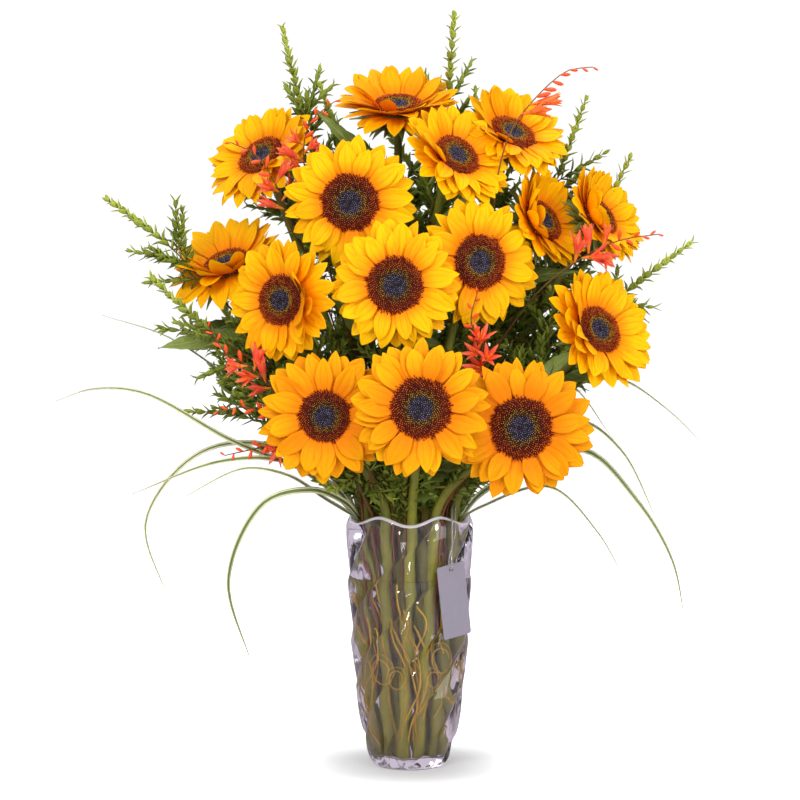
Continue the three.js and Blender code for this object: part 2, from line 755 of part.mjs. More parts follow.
// A spray: its stem, open flowers low down to either side, then buds that shrink to the tip.
function spraySolid(points, flowers) {
  const curve = new THREE.CatmullRomCurve3(points, false, 'centripetal');
  const stem = toSolid(tube(curve.getSpacedPoints(6), CROCOSMIA.stemRadius, 3, 0.8));
  const head = Math.min(0.8, CROCOSMIA.headLength / curve.getLength());
  const parts = [stem];
  const count = flowers + CROCOSMIA.buds;
  for (let i = 0; i < count; i += 1) {
    const share = i / (count - 1);
    const at = 1 - head * (1 - share);
    const root = curve.getPointAt(at);
    const along = curve.getTangentAt(at);
    const side = new THREE.Vector3().crossVectors(along, new THREE.Vector3(0, 1, 0)).normalize();
    const aim = along.clone().multiplyScalar(0.75)
      .addScaledVector(side, i % 2 ? 0.65 : -0.65)
      .add(new THREE.Vector3(0, -0.2, 0))
      .normalize();
    const inner = root.clone().addScaledVector(aim, -0.6);
    if (i < flowers) {
      const size = CROCOSMIA.flower * (1 - 0.3 * share);
      parts.push(trumpet(inner, root.clone().addScaledVector(aim, size), CROCOSMIA.mouth));
    } else {
      const size = CROCOSMIA.budLength * (1.25 - 0.75 * share);
      parts.push(bud(inner, root.clone().addScaledVector(aim, size), 2.3 * (1.3 - 0.6 * share)));
    }
  }
  return fuse(parts);
}

// A grass blade: a thin keeled strip that tapers to its tip and keeps its face to the sky.
function bladeSolid(points, width) {
  const centres = spread(points, GRASS.steps);
  const rings = centres.slice(0, -1).map((centre, i) => {
    const along = centres[i + 1].clone().sub(centres[Math.max(i - 1, 0)]).normalize();
    const side = new THREE.Vector3(0.25, -1, 0.35).cross(along).normalize();
    const face = new THREE.Vector3().crossVectors(along, side);
    const half = width / 2 * (1 - (i / GRASS.steps) ** 2 * 0.75);
    return [
      centre.clone().addScaledVector(side, half),
      centre.clone().addScaledVector(face, GRASS.thickness * 0.9),
      centre.clone().addScaledVector(side, -half),
    ];
  });
  return toSolid(loft([...rings, [centres.at(-1)]]));
}

function twigSolid(extra) {
  const strands = [1, -1].map((way) => {
    const points = [];
    for (let i = 0; i <= TWIG.steps; i += 1) {
      const share = i / TWIG.steps;
      const height = mix(TWIG.from, TWIG.to, share);
      const angle = way * (TAU * TWIG.turns * share + TWIG.sway * Math.sin(share * 11)) - TAU * 0.25;
      const reach = vaseRadius(height) - VASE.wall - TWIG.clearance;
      points.push(new THREE.Vector3(Math.cos(angle) * reach, Math.sin(angle) * reach, height));
    }
    return toSolid(tube(points, TWIG.radius + extra, 3));
  });
  return fuse(strands);
}

// ---------------------------------------------------------------- tag and cord

function tagPlace() {
  const matrix = new THREE.Matrix4().makeRotationZ(TAG.turn);
  matrix.multiply(new THREE.Matrix4().makeRotationX(Math.PI / 2 + TAG.lean));
  matrix.multiply(new THREE.Matrix4().makeRotationZ(TAG.roll * -1));
  return matrix.setPosition(point(TAG.centre));
}

// A card with round corners: each corner is a quarter turn, from the lower right one on.
function tagSolid() {
  const across = TAG.width / 2 - TAG.corner;
  const up = TAG.height / 2 - TAG.corner;
  const outline = new THREE.Shape();
  const corners = [[across, -up], [across, up], [-across, up], [-across, -up]];
  corners.forEach(([x, y], i) => outline.absarc(x, y, TAG.corner, (TAU * (i - 1)) / 4, (TAU * i) / 4, false));
  const hole = new THREE.Path();
  hole.absarc(0, TAG.height / 2 - TAG.holeDrop, TAG.hole, 0, TAU, true);
  outline.holes.push(hole);
  const geometry = new THREE.ExtrudeGeometry(outline, {
    depth: TAG.thickness,
    bevelEnabled: false,
    curveSegments: 10,
  });
  geometry.translate(0, 0, -TAG.thickness / 2);
  return toSolid(geometry.applyMatrix4(tagPlace()));
}

// The cord leaves a stem, goes over the rim, through the tag's hole and back to the same stem.
function cordSolid() {
  const matrix = tagPlace();
  const onTag = (x, y, z) => new THREE.Vector3(x, y, z).applyMatrix4(matrix);
  const seat = TAG.height / 2 - TAG.holeDrop + TAG.hole - CORD.radius - CORD.slack;
  const down = [[43.6, -28.3, 262.3], [42.6, -35, 261.7], [42.2, -42, 260.1], [42.6, -49.3, 250.5], [42.6, -52.2, 236]];
  const back = [[45.6, -49.2, 236], [45.8, -46.1, 250.5], [45.7, -40, 260.3], [46.1, -34.6, 261.7], [46.9, -28.2, 262.3]];
  const turn = [-0.5, -0.25, 0, 0.25, 0.5].map((share) => {
    const angle = Math.PI * share;
    const lift = CORD.bend * (1 - Math.cos(angle));
    return onTag(0, seat + lift, -Math.sin(angle) * CORD.bend);
  });
  const above = onTag(0, seat + 11, CORD.bend + 1.2);
  const behind = onTag(0.4, seat + 11, -CORD.bend + 1.4);
  const route = [...down.map(point), above, ...turn, behind, ...back.map(point)];
  const section = new THREE.Shape();
  section.absarc(0, 0, CORD.radius, 0, TAU, false);
  const geometry = new THREE.ExtrudeGeometry(section, {
    steps: CORD.steps,
    curveSegments: CORD.sides / 2,
    extrudePath: new THREE.CatmullRomCurve3(route, false, 'centripetal'),
    bevelEnabled: false,
  });
  return toSolid(geometry);
}

// ---------------------------------------------------------------- assembly

const vase = vaseSolid();
place('vase', vase);
add('vase', vase, 'glass');

const tag = tagSolid();
const cord = cordSolid();
place('hang_tag', tag);
place('tag_cord', cord);
add('hang_tag', tag, 'tag');
add('tag_cord', cord, 'cord');

const heads = HEADS.map((head, i) => {
  const frame = frameOf(head);
  return { ...head, number: i + 1, frame, bend: stemRoute(head, frame) };
});
const cutters = [];
for (const head of heads) {
  const bracts = Array.from({ length: HEAD.bracts }, (_, k) => bractBlade(head, k));
  const back = -HEAD.plate / 2 - GAP;
  const cup = { radius: head.disc - 2, front: back, back: back - 1.5, cupDepth: HEAD.cupDepth };
  head.stem = fuse([stemTube(head, head.bend, 0), rosette(head.frame, cup, bracts)]);
  place(stemName(head.number), head.stem);
  cutters.push(stemTube(head, head.bend, WATER.stemGap));
}
const discs = heads.map((head) => discSolid(head.frame, head.disc));
heads.forEach((head, i) => place(`sunflower_${numbered(head.number)}_disc`, discs[i]));
heads.forEach((head, i) => add(`sunflower_${numbered(head.number)}_disc`, discs[i], 'disc'));

const frontFirst = [...heads].sort((a, b) => a.centre[1] - b.centre[1]);
for (const head of frontFirst) {
  const draw = random(head.number * 101);
  const blades = [];
  for (let k = 0; k < HEAD.petals; k += 1) {
    blades.push(clearPetal(head, head.frame, k, draw));
  }
  const plate = { radius: head.disc - 1, front: HEAD.plate / 2, back: -HEAD.plate / 2, cupDepth: 0 };
  const petals = rosette(head.frame, plate, blades);
  const name = `sunflower_${numbered(head.number)}_petals`;
  place(name, petals);
  add(name, petals, 'petal');
}

const twigs = twigSolid(0);
place('curly_twigs', twigs);
add('curly_twigs', twigs, 'twig');

for (const head of heads) {
  const leaves = leavesOf(head.number, head.bend);
  leaves.forEach((leaf) => place(stemName(head.number), leaf));
  add(stemName(head.number), fuse([head.stem, ...leaves]), 'green');
}

CROCOSMIA_STEMS.forEach((stem, i) => {
  const sprays = stem.sprays.map(({ route, flowers }) => ({
    route,
    build: (points) => spraySolid(points, flowers),
  }));
  branchingStem(stem.name, stem, sprays, 'crocosmia', 300 + i);
});

GRASS_TUFTS.forEach((tuft, i) => {
  const mouth = inVase(tuft.neck, STEM.neck);
  const foot = inVase(tuft.neck, THIN_STEM.foot + 80);
  const tuftSolid = toSolid(tube([foot, mouth], GRASS.tuftRadius, 5));
  place(tuft.name, tuftSolid);
  const solids = [tuftSolid];
  tuft.blades.forEach(({ route, width }, k) => {
    const root = mouth.clone().lerp(foot, 0.03);
    const build = (points) => bladeSolid(points, width);
    const blade = firstClear([root, ...route.map(point)], build, tuft.name, 500 + i * 20 + k);
    if (blade) {
      place(tuft.name, blade.solid);
      solids.push(blade.solid);
    }
  });
  add(tuft.name, fuse(solids), 'grass');
});

MYRTLE_STEMS.forEach((stem, i) => {
  const sprigs = stem.sprigs.map((route) => ({ route, build: leafySprig }));
  branchingStem(stem.name, stem, sprigs, 'myrtle', 700 + i);
});

cutters.push(twigSolid(WATER.stemGap));
for (const stem of [...CROCOSMIA_STEMS, ...MYRTLE_STEMS]) {
  const hole = [inVase(stem.neck, THIN_STEM.foot - 1), inVase(stem.neck, STEM.neck)];
  cutters.push(toSolid(tube(hole, THIN_STEM.radius + WATER.stemGap, THIN_STEM.sides)));
}
for (const tuft of GRASS_TUFTS) {
  const hole = [inVase(tuft.neck, THIN_STEM.foot + 79), inVase(tuft.neck, STEM.neck)];
  cutters.push(toSolid(tube(hole, GRASS.tuftRadius + WATER.stemGap, 5)));
}
add('water', waterSolid(cutters), 'water');

export default bouquet;
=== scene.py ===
"""Sunflowers in a glass vase, with myrtle, crocosmia and striped grass: the finished surfaces.

Shapes are worked out in millimetres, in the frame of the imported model, and become metres when a piece
is finished. The front faces -Y, +Z is up and the origin is the middle of the vase's foot.
"""
import logging
import math
import random
from collections.abc import Callable, Iterable, Sequence
from dataclasses import dataclass, field, replace
from enum import Enum

import bmesh
import bpy
from mathutils import Matrix, Vector
from mathutils.geometry import interpolate_bezier


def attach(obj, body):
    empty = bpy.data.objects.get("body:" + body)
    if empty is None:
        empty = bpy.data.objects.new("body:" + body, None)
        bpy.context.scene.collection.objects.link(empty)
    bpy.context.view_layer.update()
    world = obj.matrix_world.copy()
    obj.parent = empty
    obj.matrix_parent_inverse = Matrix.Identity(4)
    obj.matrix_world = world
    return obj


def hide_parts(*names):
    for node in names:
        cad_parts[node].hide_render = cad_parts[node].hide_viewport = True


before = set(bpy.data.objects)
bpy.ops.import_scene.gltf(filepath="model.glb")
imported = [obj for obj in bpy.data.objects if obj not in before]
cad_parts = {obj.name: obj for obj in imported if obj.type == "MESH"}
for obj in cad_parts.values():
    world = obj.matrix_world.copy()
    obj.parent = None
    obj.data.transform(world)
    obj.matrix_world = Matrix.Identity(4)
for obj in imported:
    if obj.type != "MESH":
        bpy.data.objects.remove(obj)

log = logging.getLogger("bouquet")

MM = 0.001
TAU = math.tau
GOLDEN_ANGLE = math.pi * (3 - math.sqrt(5))
UP = Vector((0, 0, 1))
FRONT = Vector((0, -1, 0))
BODY = "root"
RAISE = 8
LEAF_FACE = Vector((0, -0.75, 0.66))

Colour = tuple[float, float, float, float]
Place = tuple[float, float, float]
Neck = tuple[float, float]


class Slot(Enum):
    """The record's material slots, apart from the card's, which keeps its own."""

    PETAL = "petal"
    SEED_DISC = "seed_disc"
    STEM_AND_LEAF = "stem_and_leaf"
    MYRTLE = "myrtle"
    CROCOSMIA = "crocosmia"
    STRIPED_GRASS = "striped_grass"
    TWIG = "twig"
    VASE_GLASS = "vase_glass"
    WATER = "water"
    TAG_CHAIN = "tag_chain"


# ---- numbers and routes


def srgb(red: int, green: int, blue: int) -> Colour:
    """Turns a colour as a screen shows it, 0 to 255, into the light values that a shader takes."""
    shares = (red / 255, green / 255, blue / 255)
    return (*(((c + 0.055) / 1.055) ** 2.4 if c > 0.04045 else c / 12.92 for c in shares), 1)


def raised(point: Sequence[float]) -> Vector:
    """Gives a listed point its place: the lists count from a plane that far above the vase's foot."""
    return Vector(point) + UP * RAISE


def mix(a: float, b: float, share: float) -> float:
    """Gives the value that lies the given share of the way from a to b."""
    return a + (b - a) * share


def smoothstep(value: float, low: float, high: float) -> float:
    """Rises smoothly from 0 at low to 1 at high."""
    share = min(1.0, max(0.0, (value - low) / (high - low)))
    return share * share * (3 - 2 * share)


def spaced(line: Sequence[Vector], count: int) -> list[Vector]:
    """Places points evenly along a line of short straight steps.

    Args:
        line: The points of the line.
        count: How many steps the new line has.

    Returns:
        The count + 1 new points.
    """
    reached = [0.0]
    for a, b in zip(line, line[1:]):
        reached.append(reached[-1] + (b - a).length)
    points, i = [], 0
    for k in range(count + 1):
        goal = reached[-1] * k / count
        while i < len(line) - 2 and reached[i + 1] < goal:
            i += 1
        step = reached[i + 1] - reached[i]
        points.append(line[i].lerp(line[i + 1], (goal - reached[i]) / step if step else 0))
    return points


def spline(knots: Iterable[Sequence[float]], count: int) -> list[Vector]:
    """Draws a smooth curve through knots, a centripetal Catmull-Rom spline.

    Args:
        knots: The points that the curve passes.
        count: How many steps the result has.

    Returns:
        Evenly spaced points of the curve.
    """
    inner = [Vector(k) for k in knots]
    knots = [inner[0] * 2 - inner[1], *inner, inner[-1] * 2 - inner[-2]]
    line = []
    for p0, p1, p2, p3 in zip(knots, knots[1:], knots[2:], knots[3:]):
        t1 = (p1 - p0).length ** 0.5
        t2 = t1 + (p2 - p1).length ** 0.5
        t3 = t2 + (p3 - p2).length ** 0.5
        for j in range(12):
            t = mix(t1, t2, j / 12)
            a1 = p0.lerp(p1, t / t1)
            a2 = p1.lerp(p2, (t - t1) / (t2 - t1))
            a3 = p2.lerp(p3, (t - t2) / (t3 - t2))
            b1 = a1.lerp(a2, t / t2)
            b2 = a2.lerp(a3, (t - t1) / (t3 - t1))
            line.append(b1.lerp(b2, (t - t1) / (t2 - t1)))
    return spaced([*line, inner[-1]], count)


def length_of(line: Sequence[Vector]) -> float:
    """Adds up the steps of a line."""
    return sum((b - a).length for a, b in zip(line, line[1:]))


def frames_along(line: Sequence[Vector]) -> list[Matrix]:
    """Sets a frame at each point of a line, its Z along the line, turned as little as possible.

    Args:
        line: The points of the line.

    Returns:
        One matrix per point.
    """
    frames = []
    normal = Vector((0.3, 1, 0.2))
    for i, point in enumerate(line):
        along = (line[min(i + 1, len(line) - 1)] - line[max(i - 1, 0)]).normalized()
        normal = (normal - along * normal.dot(along)).normalized()
        frames.append(frame_at(point, normal.cross(along), normal, along))
    return frames


def frame_at(origin: Vector, x: Vector, y: Vector, z: Vector) -> Matrix:
    """Makes a matrix from its origin and its three axes."""
    return Matrix.Translation(origin) @ Matrix((x, y, z)).transposed().to_4x4()


def aimed(origin: Vector, along: Vector, face: Vector) -> Matrix:
    """Makes a frame whose Y points along and whose Z lies as near to face as it can.

    Args:
        origin: The frame's origin.
        along: The way its Y points.
        face: The way its Z should point.

    Returns:
        The frame's matrix.
    """
    y = along.normalized()
    x = y.cross(face).normalized()
    return frame_at(origin, x, y, x.cross(y))


def polar(angle: float, reach: float, step: float, height: float) -> Vector:
    """Gives a point by its way round Z, its reach that way, its step to the side and its height."""
    cos, sin = math.cos(angle), math.sin(angle)
    return Vector((reach * cos - step * sin, reach * sin + step * cos, height))


def linked(name: str, data: bpy.types.ID) -> bpy.types.Object:
    """Makes an object of its data and puts it in the scene.

    Args:
        name: The object's name.
        data: Its mesh, camera or light.

    Returns:
        The object.
    """
    thing = bpy.data.objects.new(name, data)
    bpy.context.scene.collection.objects.link(thing)
    return thing


# ---- shader graphs


class Wire:
    """A value in a node tree, which is added, taken away and multiplied like a number."""

    def __init__(self, graph: "Graph", socket: bpy.types.NodeSocket) -> None:
        """Keeps the socket that gives the value, and the graph it is in."""
        self.graph = graph
        self.socket = socket

    def __add__(self, other: "Wire | float") -> "Wire":
        """Adds another value."""
        return self.graph.math("ADD", self, other)

    def __sub__(self, other: "Wire | float") -> "Wire":
        """Takes another value away."""
        return self.graph.math("SUBTRACT", self, other)

    def __rsub__(self, other: float) -> "Wire":
        """Takes this value away from a number."""
        return self.graph.math("SUBTRACT", other, self)

    def __mul__(self, other: "Wire | float") -> "Wire":
        """Multiplies by another value."""
        return self.graph.math("MULTIPLY", self, other)

    def __abs__(self) -> "Wire":
        """Drops the sign."""
        return self.graph.math("ABSOLUTE", self)


class Graph:
    """A node tree that grows node by node."""

    def __init__(self, tree: bpy.types.NodeTree) -> None:
        """Keeps the tree that nodes are added to, and empties it."""
        self.tree = tree
        tree.nodes.clear()

    def add(self, kind: str, inputs: dict | None = None, **settings: object) -> bpy.types.Node:
        """Adds a node.

        Args:
            kind: The node's type.
            inputs: Sockets by name or number, each with a value or the wire that feeds it.
            **settings: The node's own properties.

        Returns:
            The new node.
        """
        node = self.tree.nodes.new(kind)
        for name, value in settings.items():
            setattr(node, name, value)
        for name, value in (inputs or {}).items():
            if isinstance(value, Wire):
                self.tree.links.new(value.socket, node.inputs[name])
            else:
                node.inputs[name].default_value = value
        return node

    def out(self, output: int | str, kind: str, inputs: dict | None = None, **settings: object) -> Wire:
        """Adds a node and gives one of its outputs."""
        return Wire(self, self.add(kind, inputs, **settings).outputs[output])

    def math(self, operation: str, a: Wire | float, b: Wire | float = 0.0) -> Wire:
        """Adds a sum of two values."""
        return self.out(0, "ShaderNodeMath", {0: a, 1: b}, operation=operation)

    def rise(self, value: Wire, low: float, high: float) -> Wire:
        """Adds a smooth step from 0 at low to 1 at high."""
        ends = {"Value": value, "From Min": low, "From Max": high}
        return self.out(0, "ShaderNodeMapRange", ends, interpolation_type="SMOOTHSTEP")

    def mix(self, factor: Wire, a: Wire | Colour, b: Wire | Colour) -> Wire:
        """Adds a mix of two colours, whose factor is kept between 0 and 1."""
        return self.out(2, "ShaderNodeMix", {0: factor, 6: a, 7: b}, data_type="RGBA")

    def ramp(self, factor: Wire, stops: Sequence[tuple[float, Colour]]) -> Wire:
        """Adds a row of colours.

        Args:
            factor: The value that picks the colour.
            stops: Each colour and its place between 0 and 1. The first two are the ends.

        Returns:
            The colour.
        """
        node = self.add("ShaderNodeValToRGB", {"Fac": factor})
        elements = node.color_ramp.elements
        for i, (place, colour) in enumerate(stops):
            element = elements[i] if i < 2 else elements.new(place)
            element.position = place
            element.color = colour
        return Wire(self, node.outputs["Color"])

    def attribute(self, name: str) -> Wire:
        """Reads one of the piece's own values, such as tint, age or rise."""
        return self.out("Fac", "ShaderNodeAttribute", attribute_name=name)

    def uv(self) -> tuple[Wire, Wire]:
        """Reads the place across and along a blade, each 0 to 1."""
        node = self.add("ShaderNodeSeparateXYZ", {0: self.out(0, "ShaderNodeUVMap", uv_map="UVMap")})
        return Wire(self, node.outputs[0]), Wire(self, node.outputs[1])

    def place(self) -> Wire:
        """Reads the place on the object, in metres."""
        return self.out("Object", "ShaderNodeTexCoord")

    def drawn_out(self, height: float) -> Wire:
        """Reads the place on the object, with its height scaled so that a pattern is longer upwards."""
        return self.out(0, "ShaderNodeMapping", {"Vector": self.place(), "Scale": (1, 1, height)})

    def noise(self, vector: Wire, scale: Wire | float, detail: float) -> Wire:
        """Adds a noise between 0 and 1."""
        return self.out("Fac", "ShaderNodeTexNoise", {"Vector": vector, "Scale": scale, "Detail": detail})

    def bump(self, height: Wire, strength: float, distance: float) -> Wire:
        """Turns a height into a normal. The distance, in metres, is that of a height of 1."""
        return self.out(0, "ShaderNodeBump", {"Height": height, "Strength": strength, "Distance": distance})

    def effect(self, name: str, **inputs: float) -> Wire:
        """Places a shared effect and gives its output."""
        return self.out(0, "ShaderNodeGroup", inputs, node_tree=bpy.data.node_groups[name])

    def ray(self, kind: str) -> Wire:
        """Reads what is known of the ray that sees the surface."""
        return self.out(kind, "ShaderNodeLightPath")

    def blend(self, factor: Wire, a: Wire, b: Wire) -> Wire:
        """Adds a blend of two shaders."""
        return self.out(0, "ShaderNodeMixShader", {0: factor, 1: a, 2: b})

    def background(self, colour: Colour, strength: Wire | float) -> Wire:
        """Adds a shader that lights from all round."""
        return self.out(0, "ShaderNodeBackground", {"Color": colour, "Strength": strength})


def shared_effect(output: str, build: Callable[[Graph, dict[str, Wire]], Wire], **inputs: float) -> None:
    """Builds a node group with float inputs and one float output, named as its function is.

    Args:
        output: The output's name.
        build: Adds the group's nodes and returns the wire that goes out.
        **inputs: Each input's usual value.
    """
    tree = bpy.data.node_groups.new(build.__name__, "ShaderNodeTree")
    for key, value in inputs.items():
        tree.interface.new_socket(key, in_out="INPUT", socket_type="NodeSocketFloat").default_value = value
    tree.interface.new_socket(output, in_out="OUTPUT", socket_type="NodeSocketFloat")
    graph = Graph(tree)
    given = graph.add("NodeGroupInput").outputs
    graph.add("NodeGroupOutput", {0: build(graph, {key: Wire(graph, given[key]) for key in inputs})})


def fibres(graph: Graph, given: dict[str, Wire]) -> Wire:
    """Draws fine streaks that run along a blade.

    Args:
        graph: The group's graph.
        given: Across, how many streaks lie side by side, and Along, how often they break.

    Returns:
        The streaks, 0 to 1.
    """
    u, v = graph.uv()
    shift = graph.attribute("tint") * 37.0
    vector = graph.out(0, "ShaderNodeCombineXYZ", {0: u * given["Across"], 1: v * given["Along"], 2: shift})
    return graph.noise(vector, 1.0, 2.0)


def leaf_veins(graph: Graph, given: dict[str, Wire]) -> Wire:
    """Draws a midrib and slanting side veins.

    Args:
        graph: The group's graph.
        given: Pairs, how many side veins there are, Slant, how steeply they climb, and Rib, the midrib's width.

    Returns:
        1 on a vein and 0 between veins.
    """
    u, v = graph.uv()
    side = abs(u * 2.0 - 1.0)
    nearest = abs(graph.math("FRACT", v * given["Pairs"] - side * given["Slant"]) - 0.5)
    vein = graph.rise(nearest, 0.40, 0.49) * (1.0 - side)
    rib = 1.0 - graph.rise(graph.math("DIVIDE", side, given["Rib"]), 0.4, 1.0)
    return graph.math("MAXIMUM", vein, rib)


def mottle(graph: Graph, given: dict[str, Wire]) -> Wire:
    """Draws soft patches of two sizes, as grown things have.

    Args:
        graph: The group's graph.
        given: Scale, how many patches lie in a metre.

    Returns:
        The patches, 0 to 1.
    """
    place = graph.place()
    coarse = graph.noise(place, given["Scale"], 3.0)
    fine = graph.noise(place, given["Scale"] * 5.0, 2.0)
    return graph.rise(coarse * 0.65 + fine * 0.35, 0.32, 0.68)


def build_shared_effects() -> None:
    """Builds the effects that more than one finish uses."""
    shared_effect("Streaks", fibres, Across=24.0, Along=2.0)
    shared_effect("Veins", leaf_veins, Pairs=7.0, Slant=1.6, Rib=0.1)
    shared_effect("Patches", mottle, Scale=60.0)


# ---- finishes


@dataclass(frozen=True, kw_only=True)
class Finish:
    """A surface: its name, and the values that are the same all over it."""

    name: str
    roughness: float = 0.5
    specular: float = 0.5
    metallic: float = 0.0

    def nodes(self, graph: Graph) -> dict:
        """Adds what changes over the surface.

        Args:
            graph: The material's graph.

        Returns:
            What feeds the shader's sockets, by their names.
        """
        raise NotImplementedError

    def surface(self, graph: Graph) -> Wire:
        """Adds the shader."""
        plain = {"Roughness": self.roughness, "Specular IOR Level": self.specular, "Metallic": self.metallic}
        return graph.out(0, "ShaderNodeBsdfPrincipled", plain | self.nodes(graph))

    def material(self) -> bpy.types.Material:
        """Makes the material.

        Returns:
            The material, with its shader.
        """
        material = bpy.data.materials.new(self.name)
        material.use_nodes = True
        graph = Graph(material.node_tree)
        graph.add("ShaderNodeOutputMaterial", {"Surface": self.surface(graph)})
        return material


@dataclass(frozen=True, kw_only=True)
class PetalFinish(Finish):
    """Golden petals: orange at the foot and in the furrows, lighter towards the tip. The orange foot is painted
    shade where the petals meet the disc; the furrows are partly painted shade in the creases and partly the petals'
    veins.
    """

    name: str = "golden_petal"
    roughness: float = 0.6
    specular: float = 0.1
    foot: Colour = srgb(236, 106, 0)
    lower: Colour = srgb(251, 152, 0)
    body: Colour = srgb(254, 188, 0)
    tip: Colour = srgb(255, 202, 0)
    furrow: Colour = srgb(238, 126, 0)
    warm: Colour = srgb(236, 130, 0)

    def nodes(self, graph: Graph) -> dict:
        """Adds the colour along the petal, with painted shade at its foot, its warmth, streaks and furrows, whose
        darker lines are partly painted shade.

        Args:
            graph: The material's graph.

        Returns:
            What feeds the shader.
        """
        u, v = graph.uv()
        # painted shade: the ramp is orange at the foot, where the petals meet the disc, and lighter towards the tip
        colour = graph.ramp(v, [(0.0, self.foot), (1.0, self.tip), (0.24, self.lower), (0.5, self.body)])
        # the warm mix is given per head and is stronger at the foot, where it adds painted shade
        warmth = graph.rise(graph.attribute("tint"), 0.35, 1.0) * 0.35 + graph.attribute("age") * 0.6
        colour = graph.mix(warmth * (1.15 - v * 0.55), colour, self.warm)
        streaks = graph.effect("fibres", Across=22.0, Along=1.6)
        colour = graph.mix(graph.rise(streaks, 0.52, 0.72) * 0.5, colour, self.furrow)
        # darker furrow lines, fading towards the tip: partly painted shade in the creases and partly the petal's
        # own veins
        furrow = 1.0 - graph.rise(abs(abs(u * 2.0 - 1.0) - 0.34), 0.0, 0.12)
        colour = graph.mix(furrow * (0.75 - v * 0.6) * 0.85, colour, self.furrow)
        return {"Base Color": colour, "Normal": graph.bump(streaks - furrow * 0.6, 0.5, 0.0005)}


@dataclass(frozen=True, kw_only=True)
class DiscFinish(Finish):
    """Florets of the seed disc: purple-grey in the middle, a golden ring, and dark red round it."""

    name: str = "disc_florets"
    roughness: float = 0.62
    specular: float = 0.15
    middle: Colour = srgb(28, 24, 30)
    core: Colour = srgb(48, 42, 56)
    core_tip: Colour = srgb(132, 124, 150)
    ring: Colour = srgb(104, 70, 22)
    ring_tip: Colour = srgb(206, 154, 40)
    outer: Colour = srgb(122, 30, 8)
    outer_tip: Colour = srgb(224, 112, 30)
    rim: Colour = srgb(134, 36, 8)

    def nodes(self, graph: Graph) -> dict:
        """Adds a colour by the ring that a floret stands in, and another at its tip.

        Args:
            graph: The material's graph.

        Returns:
            What feeds the shader.
        """
        age = graph.attribute("age")
        body = graph.ramp(age, [(0.0, self.middle), (1.0, self.rim), (0.16, self.core), (0.36, self.core),
                                (0.44, self.ring), (0.62, self.outer)])
        tips = graph.ramp(age, [(0.0, self.core), (1.0, self.outer_tip), (0.16, self.core_tip),
                                (0.38, self.core_tip), (0.43, self.ring_tip), (0.56, self.ring_tip),
                                (0.66, self.outer_tip)])
        lit = graph.rise(graph.attribute("rise"), 0.55, 0.95) * graph.rise(graph.attribute("tint"), 0.1, 0.65)
        return {"Base Color": graph.mix(lit, body, tips)}


@dataclass(frozen=True, kw_only=True)
class LeafFinish(Finish):
    """A leaf: dark where it is old, light where it is young, with paler veins."""

    specular: float = 0.18
    old: Colour
    young: Colour
    vein: Colour
    pairs: float
    slant: float
    rib: float
    vein_share: float

    def nodes(self, graph: Graph) -> dict:
        """Adds the colour by age and tint, with veins that stand out.

        Args:
            graph: The material's graph.

        Returns:
            What feeds the shader.
        """
        shade = graph.attribute("age") + (graph.attribute("tint") - 0.5) * 0.45
        patches = graph.effect("mottle", Scale=70.0)
        veins = graph.effect("leaf_veins", Pairs=self.pairs, Slant=self.slant, Rib=self.rib)
        colour = graph.mix(shade, self.old, self.young)
        colour = graph.mix(patches * 0.35, colour, self.old)
        colour = graph.mix(veins * self.vein_share, colour, self.vein)
        return {"Base Color": colour, "Normal": graph.bump(patches * 0.3 - veins, 0.5, 0.0006)}


@dataclass(frozen=True, kw_only=True)
class StalkFinish(Finish):
    """A stalk: streaked and mottled between two colours, changing from its foot to its top."""

    specular: float = 0.3
    low: Colour
    high: Colour
    blush: Colour
    deep: Colour = srgb(58, 52, 20)
    high_at: float = 0.4

    def nodes(self, graph: Graph) -> dict:
        """Adds the change with height, streaks along the stalk, patches and its own depth of colour.

        Args:
            graph: The material's graph.

        Returns:
            What feeds the shader.
        """
        height = graph.out(2, "ShaderNodeSeparateXYZ", {0: graph.place()})
        streaks = graph.noise(graph.drawn_out(0.06), 900.0, 2.0)
        colour = graph.mix(graph.rise(height, 0.0, self.high_at), self.low, self.high)
        colour = graph.mix(graph.effect("mottle", Scale=90.0) * 0.55, colour, self.blush)
        colour = graph.mix(graph.rise(streaks, 0.5, 0.75) * 0.3, colour, self.low)
        colour = graph.mix(graph.attribute("tint") * 0.5, colour, self.deep)
        return {"Base Color": colour, "Normal": graph.bump(streaks, 0.4, 0.0005)}


@dataclass(frozen=True, kw_only=True)
class TrumpetFinish(Finish):
    """Crocosmia flowers: coral with an orange throat, and redder where they are still buds."""

    name: str = "coral_tepal"
    roughness: float = 0.45
    throat: Colour = srgb(254, 158, 52)
    coral: Colour = srgb(255, 76, 60)
    edge: Colour = srgb(255, 112, 70)
    orange: Colour = srgb(252, 118, 8)
    bud: Colour = srgb(240, 84, 14)
    softness: float = 0.1
    depth: float = 0.002

    def nodes(self, graph: Graph) -> dict:
        """Adds the colour along the tepal, its middle line and streaks.

        Args:
            graph: The material's graph.

        Returns:
            What feeds the shader.
        """
        u, v = graph.uv()
        streaks = graph.effect("fibres", Across=12.0, Along=1.5)
        colour = graph.ramp(v, [(0.0, self.throat), (1.0, self.edge), (0.35, self.coral)])
        colour = graph.mix(graph.rise(graph.attribute("tint"), 0.4, 0.7) * 0.75, colour, self.orange)
        colour = graph.mix(graph.attribute("age"), colour, self.bud)
        colour = graph.mix((1.0 - graph.rise(abs(u - 0.5), 0.0, 0.14)) * 0.4, colour, self.throat)
        colour = graph.mix(graph.rise(streaks, 0.5, 0.8) * 0.35, colour, self.bud)
        return {"Base Color": colour, "Normal": graph.bump(streaks, 0.25, 0.0003),
                "Subsurface Weight": self.softness, "Subsurface Scale": self.depth}


